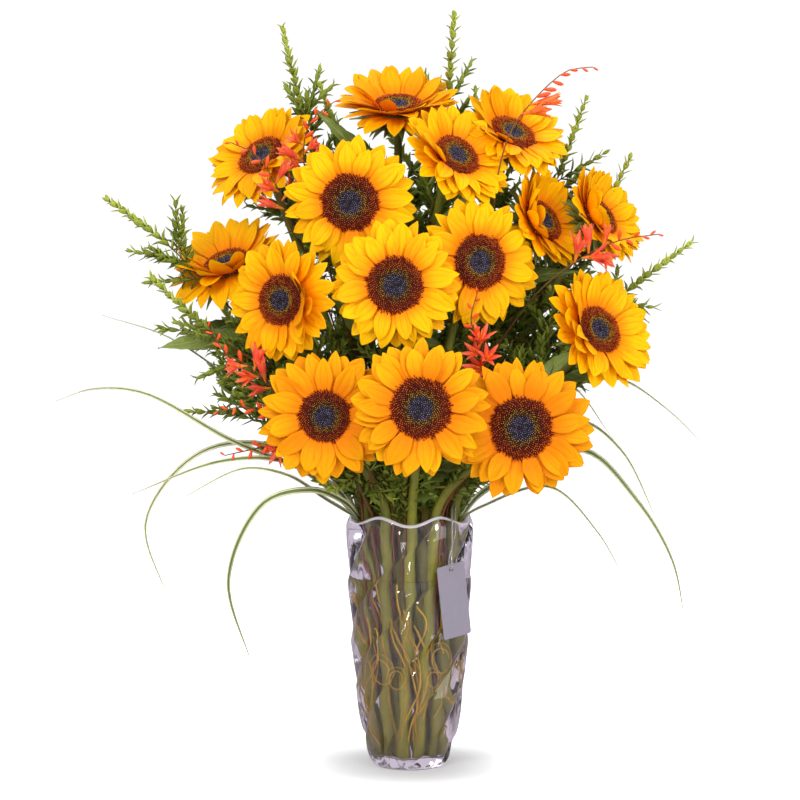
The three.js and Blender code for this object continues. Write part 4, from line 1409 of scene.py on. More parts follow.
@dataclass
class SunflowerStem:
    """A stem with the cup behind its head, two rows of bracts and its leaves."""

    head: Head
    number: int
    bunch: Bunch
    radius: float = 4.8
    upper_radius: float = 4.2
    cup_depth: float = 15
    bracts: int = 15
    bract_length: float = 24
    bract_half: float = 5.6
    stalk_share: float = 0.22
    leaf_arch: float = 0.105

    def route(self) -> list[Vector]:
        """Draws the stem's way above the vase.

        Returns:
            Its points, from the mouth to the back of its head.
        """
        place = self.head.frame()
        out = place.to_3x3().col[2]
        collar = self.bunch.at(self.head.neck, self.bunch.neck_height)
        rise = (collar - self.bunch.at(self.head.neck, self.bunch.foot_height)).normalized()
        top = place.translation - out * self.cup_depth * 0.5
        reach = (top - collar).length
        bend = top - out * reach * 0.22 - UP * reach * 0.15
        return interpolate_bezier(collar, collar + rise * reach * 0.35, bend, top, 24)

    def bract(self, row: int, k: int, draw: random.Random) -> bpy.types.Mesh:
        """Makes one bract, in the head's frame.

        Args:
            row: 0 for the row next to the petals, 1 for the row behind it.
            k: Its number in the row.
            draw: The stem's random numbers.

        Returns:
            The bract's mesh.
        """
        angle = TAU * (k + 0.5 * row) / self.bracts
        length = self.bract_length * (1.0, 0.82)[row] * draw.uniform(0.85, 1.15)
        drop = min(0.0, self.head.flare * math.sin(angle)) - 3 * row
        half = self.bract_half
        back = draw.uniform(1, 7)

        def shape(side: float, share: float) -> Vector:
            """Places a point of the bract.

            Args:
                side: Across, -1 to 1.
                share: Along, 0 to 1.

            Returns:
                The point.
            """
            reach = self.head.disc * 0.78 + (length + self.head.disc * 0.22) * share
            wide = half * min(1.0, 0.6 + 1.6 * share) * max(0.02, 1 - share ** 1.5)
            lift = mix(-8 - 2 * row, -4.5 + drop * 0.6, share) - back * share ** 3 - 0.14 * half * side * side
            step = side * wide
            return polar(angle, reach, step, lift)

        return grid_blade(4, 6, shape, 0.5)

    def leaf(self, root: Vector, tip: Vector, width: float, draw: random.Random) -> bpy.types.Mesh:
        """Makes a leaf blade with a toothed edge, from the end of its stalk to its drooping tip.

        Args:
            root: Where the leaf's stalk leaves the stem.
            tip: The leaf's tip.
            width: The blade's width.
            draw: The stem's random numbers.

        Returns:
            The leaf's mesh, in place.
        """
        reach = tip - root
        length = reach.length
        side_way = reach.cross(LEAF_FACE).normalized()
        face = side_way.cross(reach).normalized()
        fold = draw.uniform(0.14, 0.26)
        wave = draw.uniform(0, TAU)

        def shape(side: float, share: float) -> Vector:
            """Places a point of the leaf.

            Args:
                side: Across, -1 to 1.
                share: Along, 0 to 1.

            Returns:
                The point.
            """
            along = mix(self.stalk_share, 1, share)
            wide = min(1.0, share / 0.2 + 0.12) ** 0.7 * max(0.015, 1 - share ** 1.7) ** 0.9
            notch = 1 + 0.07 * math.sin(share * 44) * abs(side) ** 3
            half = width / 2 * wide * notch
            lobe = -0.07 * length * (abs(side) ** 1.6) * (1 - smoothstep(share, 0, 0.3))
            arch = self.leaf_arch * length * math.sin(math.pi * along ** 0.9)
            ripple = math.sin(share * 9 + wave + side * 1.3) * 1.6 * abs(side)
            lift = arch + fold * abs(side) * half + ripple
            return root + reach * along + reach.normalized() * lobe + side_way * side * half + face * lift

        return grid_blade(10, 16, shape, 0.5)

    def spare_leaves(self, route: list[Vector], draw: random.Random) -> list[LeafPlace]:
        """Places more leaves among the stems, which reach sideways or to the back.

        Args:
            route: The stem's way above the mouth.
            draw: The stem's random numbers.

        Returns:
            The leaves' places.
        """
        leaves = []
        for along in (0.26, 0.42, 0.56, 0.7):
            angle = math.pi * draw.uniform(-0.12, 1.12)
            reach = draw.uniform(52, 78)
            away = Vector((math.cos(angle) * reach, math.sin(angle) * reach * 0.8, draw.uniform(-25, 30)))
            tip = route[round(along * (len(route) - 1))] + away - UP * RAISE
            leaves.append(LeafPlace(self.number, along, tuple(tip), draw.uniform(32, 46)))
        return leaves

    def add_leaves(self, sheaf: Sheaf, route: list[Vector], draw: random.Random) -> None:
        """Adds the stem's leaves and their stalks.

        Args:
            sheaf: The piece that they are added to.
            route: The stem's way above the mouth.
            draw: The stem's random numbers.
        """
        own = [leaf for leaf in LEAVES if leaf.stem == self.number]
        for i, leaf in enumerate(own + self.spare_leaves(route, draw)):
            root = route[round(leaf.along * (len(route) - 1))]
            tip = raised(leaf.tip)
            age = draw.uniform(0.5, 0.9) if i < len(own) else draw.uniform(0.0, 0.35)
            sheaf.add(self.leaf(root, tip, leaf.width, draw), None, draw.random(), age)
            reach = tip - root
            face = reach.cross(LEAF_FACE).normalized().cross(reach).normalized()
            line = []
            for k in range(8):
                along = (self.stalk_share + 0.06) * k / 7
                arch = self.leaf_arch * reach.length * math.sin(math.pi * along ** 0.9)
                line.append(root + reach * along + face * arch)
            sheaf.stalk(line, 2.0, 1.0, 7, draw.random())

    def build(self, leaf_material: bpy.types.Material, stalk_material: bpy.types.Material) -> None:
        """Builds the stem.

        Args:
            leaf_material: The finish of leaves and bracts.
            stalk_material: The finish of the stem and the leaf stalks.
        """
        draw = random.Random(self.number * 307)
        route = self.route()
        foot = self.bunch.at(self.head.neck, self.bunch.foot_height)
        line = [foot.lerp(route[0], k / 8) for k in range(8)] + route
        sheaf = Sheaf(f"stem_{self.number:02d}", [leaf_material, stalk_material])
        sheaf.stalk(line, self.radius * 1.12, self.upper_radius, 12, draw.random())
        place = self.head.frame()
        rim = self.head.disc - 2
        cup = [(0, -15), (4.6, -14.6), (rim * 0.45, -13.5), (rim * 0.72, -10.5), (rim * 0.92, -6), (rim, -2.2),
               (0, -1.6)]
        sheaf.add(mesh_from(spun(cup, 24)), place, draw.random(), 0.5)
        for row in (0, 1):
            for k in range(self.bracts):
                sheaf.add(self.bract(row, k, draw), place, draw.random(), draw.uniform(0.35, 0.9))
        self.add_leaves(sheaf, route, draw)
        sheaf.finish(Slot.STEM_AND_LEAF, [f"sunflower_{self.number:02d}_stem"])


# ---- myrtle


@dataclass(frozen=True)
class MyrtleStem:
    """A leafy stem: its node, its neck and its fork, and the points of its sprigs and of its hidden branches."""

    node: str
    neck: Neck
    fork: Place
    sprigs: tuple[tuple[Place, ...], ...]
    fills: tuple[tuple[Place, ...], ...] = ()


MYRTLE_STEMS = [
    MyrtleStem("myrtle_upper_left", (-24, 42), (-62, 48, 520), (
        ((-100, 45, 620), (-118, 38, 694), (-131, 35, 750)),
        ((-72, 52, 610), (-80, 52, 655), (-92, 52, 690)),
        ((-110, 70, 560), (-140, 90, 590), (-150, 100, 640)),
    )),
    MyrtleStem("myrtle_top", (18, 42), (30, 52, 560), (
        ((38, 52, 640), (42, 52, 705), (46, 50, 762)),
        ((60, 70, 600), (72, 85, 640), (70, 95, 690)),
        ((10, 80, 600), (-10, 95, 630), (-30, 105, 660)),
    )),
    MyrtleStem("myrtle_right", (23, 24), (88, 30, 430), (
        ((130, 40, 530), (158, 42, 610), (181, 34, 676)),
        ((160, 48, 500), (205, 50, 570), (227, 40, 616)),
        ((170, 20, 430), (225, 5, 482), (286, 0, 529)),
        ((120, 70, 460), (150, 95, 490), (170, 105, 540)),
    ), (
        ((110, -10, 350), (138, -14, 400), (158, -6, 440)),
        ((100, -20, 320), (140, -4, 350), (172, 0, 392)),
    )),
    MyrtleStem("myrtle_left", (-32, -8), (-120, 0, 395), (
        ((-190, -5, 470), (-250, 0, 530), (-306, 0, 572)),
        ((-165, -28, 415), (-215, -32, 452), (-260, -30, 493)),
        ((-160, 40, 420), (-190, 70, 450), (-200, 90, 500)),
    ), (
        ((-110, -18, 350), (-146, -20, 392), (-164, -14, 430)),
        ((-110, -24, 325), (-150, -14, 345), (-180, -10, 372)),
    )),
    MyrtleStem("myrtle_mouth", (-26, -24), (-48, -38, 300), (
        ((-75, -60, 330), (-105, -70, 390), (-130, -60, 430)),
        ((-62, -62, 290), (-74, -72, 285), (-90, -80, 292)),
        ((-40, -62, 290), (-42, -70, 330), (-40, -78, 380)),
    )),
]


@dataclass
class Myrtle:
    """Leafy stems with small pointed leaves in pairs, each pair turned a quarter from the last."""

    bunch: Bunch
    shoot_step: float = 6.0
    bare_tip: float = 86
    sprig_steps: int = 24
    fill_steps: int = 20
    collar_shoots: int = 30
    seed: int = 700

    @staticmethod
    def leaf_shapes(length: float, width: float) -> list[bpy.types.Mesh]:
        """Makes three leaves that differ in how they fold and droop.

        Args:
            length: A leaf's length.
            width: A leaf's width.

        Returns:
            The leaves' meshes.
        """
        shapes = []
        for fold, droop in ((0.5, 0.4), (0.3, -0.2), (0.7, 0.9)):
            def shape(side: float, share: float, fold: float = fold, droop: float = droop) -> Vector:
                """Places a point of the leaf.

                Args:
                    side: Across, -1 to 1.
                    share: Along, 0 to 1.
                    fold: How much it is folded.
                    droop: How far its middle is off the line.

                Returns:
                    The point.
                """
                wide = width / 2 * math.sin(math.pi * (0.06 + 0.93 * share) ** 0.85) ** 0.85
                height = abs(side) * wide * fold + droop * math.sin(math.pi * share) * 1.5
                return Vector((side * wide, share * length, height))
            shapes.append(grid_blade(2, 3, shape, 0.3))
        return shapes

    @staticmethod
    def dress(sheaf: Sheaf, line: list[Vector], ages: tuple[float, float],
              leaves: tuple[list[bpy.types.Mesh], float], draw: random.Random) -> None:
        """Sets pairs of leaves along a shoot, up to its tip.

        Args:
            sheaf: The piece that they are added to.
            line: The shoot's points.
            ages: The leaves' age at the shoot's foot and at its tip.
            leaves: The leaves to choose from, and the step from pair to pair.
            draw: The stem's random numbers.
        """
        shapes, step = leaves
        pairs = max(2, round(length_of(line) / step))
        places = frames_along(spaced(line, pairs))
        for k, place in enumerate(places[1:], 1):
            share = k / pairs
            grown = mix(1.05, 0.75, share ** 3) * draw.uniform(0.85, 1.15)
            open_angle = mix(0.85, 0.5, share) * draw.uniform(0.7, 1.3)
            for way in (0, math.pi):
                turn = way + k * math.pi / 2 + draw.uniform(-0.25, 0.25)
                leaf = place @ Matrix.Rotation(turn, 4, "Z") @ Matrix.Rotation(math.pi / 2 - open_angle, 4, "X")
                age = mix(*ages, share) + draw.uniform(-0.1, 0.1)
                sheaf.add(draw.choice(shapes), leaf @ Matrix.Scale(grown, 4), draw.random(), age)

    @staticmethod
    def hides_flower(tip: Vector) -> bool:
        """Tells whether a shoot would stand in front of a flower head or a crocosmia flower.

        Args:
            tip: The shoot's tip.

        Returns:
            True where it would.
        """
        spots = [(head.centre, 22, (head.disc + head.petal) * 0.95) for head in HEADS]
        spots += [(spot, 12, 17) for stem in CROCOSMIA_STEMS for spray in stem.sprays for spot in spray.points[1:]]
        for spot, depth, radius in spots:
            away = tip - raised(spot)
            if away.y < depth and math.hypot(away.x, away.z) < radius:
                return True
        return False

    def shoots(self, sheaf: Sheaf, line: list[Vector], draw: random.Random) -> None:
        """Grows short side shoots along a stem.

        Args:
            sheaf: The piece that they are added to.
            line: The stem's points.
            draw: The stem's random numbers.
        """
        count = int(length_of(line) / self.shoot_step)
        for place in frames_along(spaced(line, max(2, count)))[1:]:
            angle = draw.uniform(0, TAU)
            out = place.to_3x3() @ Vector((math.cos(angle), math.sin(angle), draw.uniform(0.5, 1.3))).normalized()
            out.y = max(out.y, out.y * 0.3)
            reach = draw.uniform(30, 60)
            start = place.translation
            tip = start + out * reach + UP * draw.uniform(0, 10)
            if self.hides_flower(tip):
                continue
            shoot = spline([start, start.lerp(tip, 0.5) + out.cross(UP) * 3, tip], 5)
            sheaf.stalk(shoot, 0.8, 0.4, 3, draw.random())
            self.dress(sheaf, shoot, (0.05, 0.55), self.narrow, draw)

    def collar(self, sheaf: Sheaf, draw: random.Random) -> None:
        """Adds short leafy shoots that rise out of the mouth all round and lean outwards.

        Args:
            sheaf: The piece that they are added to.
            draw: The stem's random numbers.
        """
        for k in range(self.collar_shoots):
            angle = TAU * (k + draw.uniform(-0.4, 0.4)) / self.collar_shoots
            out = Vector((math.cos(angle), math.sin(angle), 0))
            foot = out * draw.uniform(30, 42) + UP * draw.uniform(215, 240)
            tip = foot + out * draw.uniform(4, 26) + UP * draw.uniform(45, 85)
            shoot = spline([foot, foot.lerp(tip, 0.5) - out * 3, tip], 6)
            sheaf.stalk(shoot, 1.1, 0.5, 5, draw.random())
            self.dress(sheaf, shoot[2:], (0.0, 0.45), self.narrow, draw)

    def climber(self, sheaf: Sheaf, stem: SunflowerStem, draw: random.Random) -> None:
        """Adds a thin leafy stem that runs beside a sunflower's and fills the gaps between the heads.

        Args:
            sheaf: The piece that it is added to.
            stem: The sunflower's stem.
            draw: The myrtle stem's random numbers.
        """
        angle = draw.uniform(0, TAU)
        beside = Vector((math.cos(angle), math.sin(angle), 0)) * 7
        top = draw.uniform(0.8, 0.92)
        route = stem.route()
        line = spaced([point + beside for point in route[:round(len(route) * top)]], 16)
        low = self.bunch.at(stem.head.neck, draw.uniform(60, 120)) + beside * 0.6
        sheaf.stalk([low, low.lerp(line[0], 0.5), *line], 1.5, 0.8, 4, draw.random())
        self.shoots(sheaf, line, draw)
        if math.hypot(*stem.head.neck) < 38:
            bare = [low.lerp(line[0], share) for share in (0.5, 0.75, 0.97)]
            self.dress(sheaf, bare, (0.0, 0.2), self.narrow, draw)

    def build(self, leaf_material: bpy.types.Material, stalk_material: bpy.types.Material) -> None:
        """Builds the five stems.

        Args:
            leaf_material: The leaves' finish.
            stalk_material: The twigs' finish.
        """
        self.narrow = self.leaf_shapes(14.5, 5.2), 5.6
        self.broad = self.leaf_shapes(13.0, 6.6), 5.4
        for i, stem in enumerate(MYRTLE_STEMS):
            draw = random.Random(self.seed + i)
            fork = raised(stem.fork)
            sheaf = Sheaf(stem.node.replace("myrtle", "myrtle_sprays"), [leaf_material, stalk_material])
            trunk = self.bunch.trunk(stem.neck, fork, sheaf)
            self.shoots(sheaf, trunk, draw)
            for number in range(i, len(HEADS), len(MYRTLE_STEMS)):
                self.climber(sheaf, SunflowerStem(HEADS[number], number + 1, self.bunch), draw)
            for sprig in stem.sprigs:
                line = spline([fork, *map(raised, sprig)], self.sprig_steps)
                sheaf.stalk(line, 1.5, 0.6, 4, draw.random())
                step = length_of(line) / self.sprig_steps
                split = max(1, self.sprig_steps - round(self.bare_tip / step))
                self.shoots(sheaf, line[:split + 1], draw)
                self.dress(sheaf, line[split:], (0.5, 1.1), self.broad, draw)
            for fill in stem.fills:
                line = spline([trunk[4], *map(raised, fill)], self.fill_steps)
                sheaf.stalk(line, 1.3, 0.6, 4, draw.random())
                self.shoots(sheaf, line[6:], draw)
            if stem.node == "myrtle_mouth":
                self.collar(sheaf, draw)
            sheaf.finish(Slot.MYRTLE, [stem.node])


# ---- crocosmia


@dataclass(frozen=True)
class Spray:
    """A flowering branch: its points, how many open flowers it has, and how orange they are."""

    points: tuple[Place, ...]
    flowers: int
    orange: float = 0.3
    below: bool = False


@dataclass(frozen=True)
class CrocosmiaStem:
    """A flowering stem: the node it stands for, its neck, its fork and its sprays."""

    node: str
    neck: Neck
    fork: Place
    sprays: tuple[Spray, ...]


CROCOSMIA_STEMS = [
    CrocosmiaStem("crocosmia_upper_left", (-14, 24), (-74, 0, 470), (
        Spray(((-96, -8, 560), (-108, -14, 620), (-100, -20, 652), (-76, -24, 672)), 4),
        Spray(((-118, -28, 540), (-136, -38, 590), (-156, -40, 618), (-180, -38, 630)), 3),
    )),
    CrocosmiaStem("crocosmia_right", (30, -24), (72, -14, 400), (
        Spray(((90, -30, 604), (104, -38, 646), (122, -38, 670), (145, -32, 693), (160, -30, 703),
               (184, -30, 706)), 1, 0.9, True),
        Spray(((130, -30, 480), (176, -38, 516), (212, -38, 532), (250, -36, 538)), 4),
        Spray(((78, -60, 400), (66, -84, 430), (60, -98, 455), (66, -100, 480)), 3),
    )),
    CrocosmiaStem("crocosmia_left", (-36, -34), (-85, -62, 335), (
        Spray(((-141, -75, 388), (-165, -80, 410), (-181, -82, 418), (-200, -82, 446)), 4),
        Spray(((-145, -82, 361), (-167, -85, 366), (-190, -88, 362)), 3),
        Spray(((-130, -78, 332), (-149, -80, 326), (-184, -82, 318)), 2),
    )),
]


@dataclass
class Crocosmia:
    """Arching stems with trumpet flowers low down and two rows of buds that shrink to the tip."""

    bunch: Bunch
    tube_length: float = 9
    tepal_length: float = 21
    tepal_width: float = 6.0
    tepals: int = 6
    buds: int = 7
    bud_length: float = 12
    head_length: float = 90
    fine_steps: int = 200
    seed: int = 300

    def tepal(self, angle: float, spread: float) -> bpy.types.Mesh:
        """Makes one tepal of a flower that opens along Z.

        Args:
            angle: Its place round the mouth.
            spread: How far it opens, in radians from the flower's axis at its tip.

        Returns:
            The tepal's mesh.
        """
        def shape(side: float, share: float) -> Vector:
            """Places a point of the tepal.

            Args:
                side: Across, -1 to 1.
                share: Along, 0 to 1.

            Returns:
                The point.
            """
            pitch = spread * (0.45 + 0.4 * share)
            reach = 1.7 + self.tepal_length * share * math.sin(pitch)
            height = self.tube_length - 1.5 + self.tepal_length * share * math.cos(pitch)
            wide = self.tepal_width / 2 * math.sin(math.pi * (0.2 + 0.78 * share)) ** 0.8
            step = side * wide
            hollow = abs(side) ** 2 * wide * 0.35
            return polar(angle, reach - hollow, step, height)

        return grid_blade(2, 6, shape, 0.35)

    def flower(self, spread: float) -> bpy.types.Mesh:
        """Makes an open flower along Z: a slim tube, its tepals and three stamens.

        Args:
            spread: How far its tepals open, in radians.

        Returns:
            The flower's mesh.
        """
        sheaf = Sheaf("flower", [])
        axis = [Vector((0.06 * z * (z / self.tube_length - 1), 0, z)) for z in (0, 2.5, 5, 7, self.tube_length)]
        sheaf.add(tube(axis, (1.0, 1.1, 1.5, 2.0, 2.4), 7), None, 0.5, 0.25)
        for k in range(self.tepals):
            sheaf.add(self.tepal(TAU * k / self.tepals, spread * (1.0 if k % 2 else 0.86)), None, 0.5, 0.0)
        for k in range(3):
            angle = TAU * k / 3 + 0.4
            tip = polar(angle, 3.4, 0, self.tube_length + 13)
            sheaf.add(tapered([Vector((0, 0, self.tube_length - 2)), tip], 0.35, 0.45, 4), None, 0.2, 0.0)
        return data_of("flower", sheaf.bm)

    @staticmethod
    def bud_shape() -> bpy.types.Mesh:
        """Makes a pointed bud of length 1 along Z."""
        profile = [(0, 0), (0.08, 0.03), (0.13, 0.25), (0.18, 0.55), (0.15, 0.78), (0.07, 0.95), (0, 1)]
        return mesh_from(spun(profile, 7))

    def spray(self, sheaf: Sheaf, line: list[Vector], spray: Spray, draw: random.Random) -> None:
        """Adds the flowers and buds of one branch.

        Args:
            sheaf: The piece that they are added to.
            line: The branch's points, worked out.
            spray: The branch.
            draw: The stem's random numbers.
        """
        total = length_of(line)
        head = min(0.8, self.head_length / total)
        last = self.fine_steps
        fine = spaced(line, last)
        opened = spray.flowers + 1
        count = opened + self.buds
        for i in range(count):
            share = i / (count - 1)
            spot = round((1 - head * (1 - share)) * last)
            root = fine[spot]
            along = (fine[min(last, spot + 2)] - fine[max(0, spot - 2)]).normalized()
            side = along.cross(-FRONT).normalized()
            way = -1 if i % 2 or spray.below else 1
            aim = along * draw.uniform(0.3, 0.9) + side * way * draw.uniform(0.3, 1.0)
            aim += FRONT * draw.uniform(0, 0.6)
            turn = aimed(root, aim, FRONT) @ Matrix.Rotation(-math.pi / 2, 4, "X")
            turn = turn @ Matrix.Rotation(draw.uniform(0, TAU), 4, "Z")
            if i < opened:
                size = mix(1.1, 0.8, share) * draw.uniform(0.8, 1.1)
                mesh = draw.choice(self.flowers)
                self.place(sheaf, mesh, turn @ Matrix.Scale(size, 4), spray.orange + draw.uniform(-0.25, 0.25))
            else:
                size = self.bud_length * mix(1.5, 0.55, share)
                sheaf.add(self.bud, turn @ Matrix.Scale(size, 4), draw.random(), 1.0)

    @staticmethod
    def place(sheaf: Sheaf, flower: bpy.types.Mesh, where: Matrix, tint: float) -> None:
        """Adds a whole flower, whose parts keep their own ages.

        Args:
            sheaf: The piece that it is added to.
            flower: The flower's mesh, which is copied.
            where: Where the flower goes.
            tint: How orange it is, 0 to 1.
        """
        copy = flower.copy()
        copy.transform(where)
        copy.attributes["tint"].data.foreach_set("value", [tint] * len(copy.vertices))
        sheaf.bm.from_mesh(copy)
        bpy.data.meshes.remove(copy)

    def build(self, tepal_material: bpy.types.Material, stalk_material: bpy.types.Material) -> None:
        """Builds the three stems.

        Args:
            tepal_material: The finish of flowers and buds.
            stalk_material: The stems' finish.
        """
        self.flowers = [self.flower(spread) for spread in (0.8, 0.55, 0.3)]
        self.bud = self.bud_shape()
        for i, stem in enumerate(CROCOSMIA_STEMS):
            draw = random.Random(self.seed + i)
            fork = raised(stem.fork)
            sheaf = Sheaf(stem.node.replace("crocosmia", "crocosmia_sprays"), [tepal_material, stalk_material])
            self.bunch.trunk(stem.neck, fork, sheaf)
            for spray in stem.sprays:
                line = spline([fork, *map(raised, spray.points)], 30)
                sheaf.stalk(line, 1.4, 0.5, 6, draw.random())
                self.spray(sheaf, line, spray, draw)
            sheaf.finish(Slot.CROCOSMIA, [stem.node])


# ---- striped grass


@dataclass(frozen=True)
class Blade:
    """A grass blade: its points after the neck, and its width."""

    points: tuple[Place, ...]
    width: float


@dataclass(frozen=True)
class Tuft:
    """The blades on one side, the node they stand for and the neck they rise from."""

    node: str
    neck: Neck
    blades: tuple[Blade, ...]


TUFTS = [
    Tuft("grass_left", (-51, -12), (
        Blade(((-80, -30, 285), (-180, -60, 332), (-267, -60, 379), (-318, -60, 383), (-355, -60, 371)), 6),
        Blade(((-90, -60, 290), (-129, -78, 313), (-190, -84, 312), (-276, -84, 280)), 6),
        Blade(((-85, -50, 272), (-123, -92, 300), (-165, -96, 306), (-227, -92, 276)), 4),
        Blade(((-80, 0, 290), (-157, -20, 326), (-218, -30, 314), (-268, -34, 247), (-243, -40, 164)), 6),
        Blade(((-66, -46, 268), (-100, -85, 284), (-145, -96, 272), (-180, -96, 197), (-156, -96, 108)), 7),
        Blade(((-80, 20, 300), (-188, 20, 392), (-250, 10, 434), (-315, 0, 456)), 3),
    )),
    Tuft("grass_right", (51, -10), (
        Blade(((75, -5, 275), (174, -30, 320), (228, -48, 271), (264, -56, 210), (277, -60, 148)), 7),
        Blade(((76, 10, 290), (170, -5, 348), (214, -30, 320), (252, -40, 245)), 5),
        Blade(((80, 25, 300), (166, 20, 380), (213, 0, 391), (263, -10, 360), (301, -20, 323)), 4),
        Blade(((72, -32, 262), (140, -60, 285), (187, -62, 241), (220, -60, 184)), 3),
        Blade(((70, 45, 300), (120, 90, 370), (170, 110, 380), (220, 120, 320)), 5),
    )),
]


@dataclass
class StripedGrass:
    """Long arching blades with a keel, from a tuft on each side of the vase."""

    bunch: Bunch
    steps: int = 40
    keel: float = 0.28
    thickness: float = 0.3
    across_view: Vector = field(default_factory=lambda: Vector((0.25, -1, 0.35)))

    def blade(self, line: list[Vector], width: float) -> bpy.types.Mesh:
        """Makes a blade along a line.

        Args:
            line: Its points, one more than its steps.
            width: Its greatest width.

        Returns:
            The blade's mesh.
        """
        count = len(line) - 1

        def shape(side: float, share: float) -> Vector:
            """Places a point of the blade.

            Args:
                side: Across, -1 to 1.
                share: Along, 0 to 1.

            Returns:
                The point.
            """
            i = round(share * count)
            along = (line[min(i + 1, count)] - line[max(i - 1, 0)]).normalized()
            across = self.across_view.cross(along).normalized()
            face = along.cross(across)
            half = width / 2 * max(0.04, 1 - share ** 2.6) * min(1.0, 0.55 + 4 * share)
            return line[i] + across * side * half + face * abs(side) * half * self.keel

        return grid_blade(4, count, shape, self.thickness)

    def build(self, material: bpy.types.Material, stalk_material: bpy.types.Material) -> None:
        """Builds the two tufts.

        Args:
            material: The blades' finish.
            stalk_material: The finish of the tufts' feet.
        """
        for tuft in TUFTS:
            draw = random.Random(len(tuft.blades) * 41)
            mouth = self.bunch.at(tuft.neck, self.bunch.neck_height)
            foot = self.bunch.at(tuft.neck, self.bunch.thin_foot_height + 80)
            sheaf = Sheaf(tuft.node.replace("grass", "striped_grass"), [material, stalk_material])
            sheaf.stalk([foot, mouth.lerp(foot, 0.5), mouth], 2.2, 1.8, 8, 0.5)
            for blade in tuft.blades:
                line = spline([mouth.lerp(foot, 0.03), *map(raised, blade.points)], self.steps)
                sheaf.add(self.blade(line, blade.width), None, draw.random(), 0.5)
            sheaf.finish(Slot.STRIPED_GRASS, [tuft.node])


# ---- twigs in the water


@dataclass
class CurlyTwigs:
    """Thin curly twigs between the stems and the glass, and a few tendrils that loop."""

    vase: Vase
    strands: int = 19
    tendrils: int = 4
    low: float = 24
    high: float = 213
    clearance: float = 2.6
    seed: int = 900

    def on_glass(self, angle: float, height: float, inwards: float) -> Vector:
        """Gives the point at an angle and a height that lies a little inside the glass."""
        reach = self.vase.radius(height) - self.vase.wall - self.clearance - inwards
        return polar(angle, reach, 0, height)

    def strand(self, draw: random.Random) -> list[Vector]:
        """Draws one strand.

        Args:
            draw: The twigs' random numbers.

        Returns:
            Its points, from its foot to its top.
        """
        start = math.pi * draw.uniform(0.98, 2.02)
        turns = draw.choice((-1, 1)) * draw.uniform(0.01, 0.15)
        sway = draw.uniform(0.06, 0.26)
        pace = draw.uniform(4, 11)
        low = self.low + draw.uniform(0, 40)
        high = self.high - draw.uniform(0, 70)
        line = []
        for k in range(11):
            share = k / 10
            angle = start + TAU * turns * share + sway * math.sin(share * pace + start)
            inwards = 11 * (0.5 + 0.5 * math.sin(share * pace * 0.7 + start))
            line.append(self.on_glass(angle, mix(low, high, share), inwards))
        return line

    def tendril(self, draw: random.Random) -> list[Vector]:
        """Draws a thin tendril that winds one loop and a half.

        Args:
            draw: The twigs' random numbers.

        Returns:
            Its points.
        """
        middle = math.pi * draw.uniform(1.25, 1.75)
        height = draw.uniform(85, 165)
        radius = draw.uniform(5, 10)
        line = []
        for k in range(19):
            turn = TAU * 1.5 * k / 18
            grown = radius * (1 + 0.9 * k / 18)
            angle = middle + grown * math.cos(turn) / 50
            line.append(self.on_glass(angle, height + grown * 1.2 * math.sin(turn), 0.12 * k))
        return line

    def build(self, material: bpy.types.Material) -> None:
        """Builds the twigs.

        Args:
            material: The bark's finish.
        """
        draw = random.Random(self.seed)
        sheaf = Sheaf("curly_twig_strands", [material])
        for _ in range(self.strands):
            thick = draw.uniform(0.5, 1.25)
            sheaf.add(tapered(spline(self.strand(draw), 40), thick * 0.7, thick, 6), None, draw.random(), 0.5)
        for _ in range(self.tendrils):
            sheaf.add(tapered(spline(self.tendril(draw), 48), 0.6, 0.35, 5), None, draw.random() * 0.4, 0.5)
        sheaf.finish(Slot.TWIG, ["curly_twigs"])


# ---- hang tag and its chain


@dataclass
class HangTag:
    """A bare card with a punched hole, hanging on a bead chain."""

    node: str = "hang_tag"
    height: float = 78
    hole: float = 2.4
    hole_drop: float = 5.5
    centre: Place = (44.4, -52.3, 177)
    turn: float = math.radians(27)
    lean: float = math.radians(10)
    roll: float = math.radians(-11.5)

    def frame(self) -> Matrix:
        """Gives the card's frame: X across it, Y up it and Z out of its front."""
        tilted = Matrix.Rotation(math.pi / 2 + self.lean, 4, "X") @ Matrix.Rotation(-self.roll, 4, "Z")
        return Matrix.Translation(self.centre) @ Matrix.Rotation(self.turn, 4, "Z") @ tilted

    def dress(self, material: bpy.types.Material) -> bpy.types.Object:
        """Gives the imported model's card its finish.

        Args:
            material: The card's finish.

        Returns:
            The card, which hangs on the chain.
        """
        card = bpy.data.objects[self.node]
        for slot in card.material_slots:
            slot.material = material
        return card


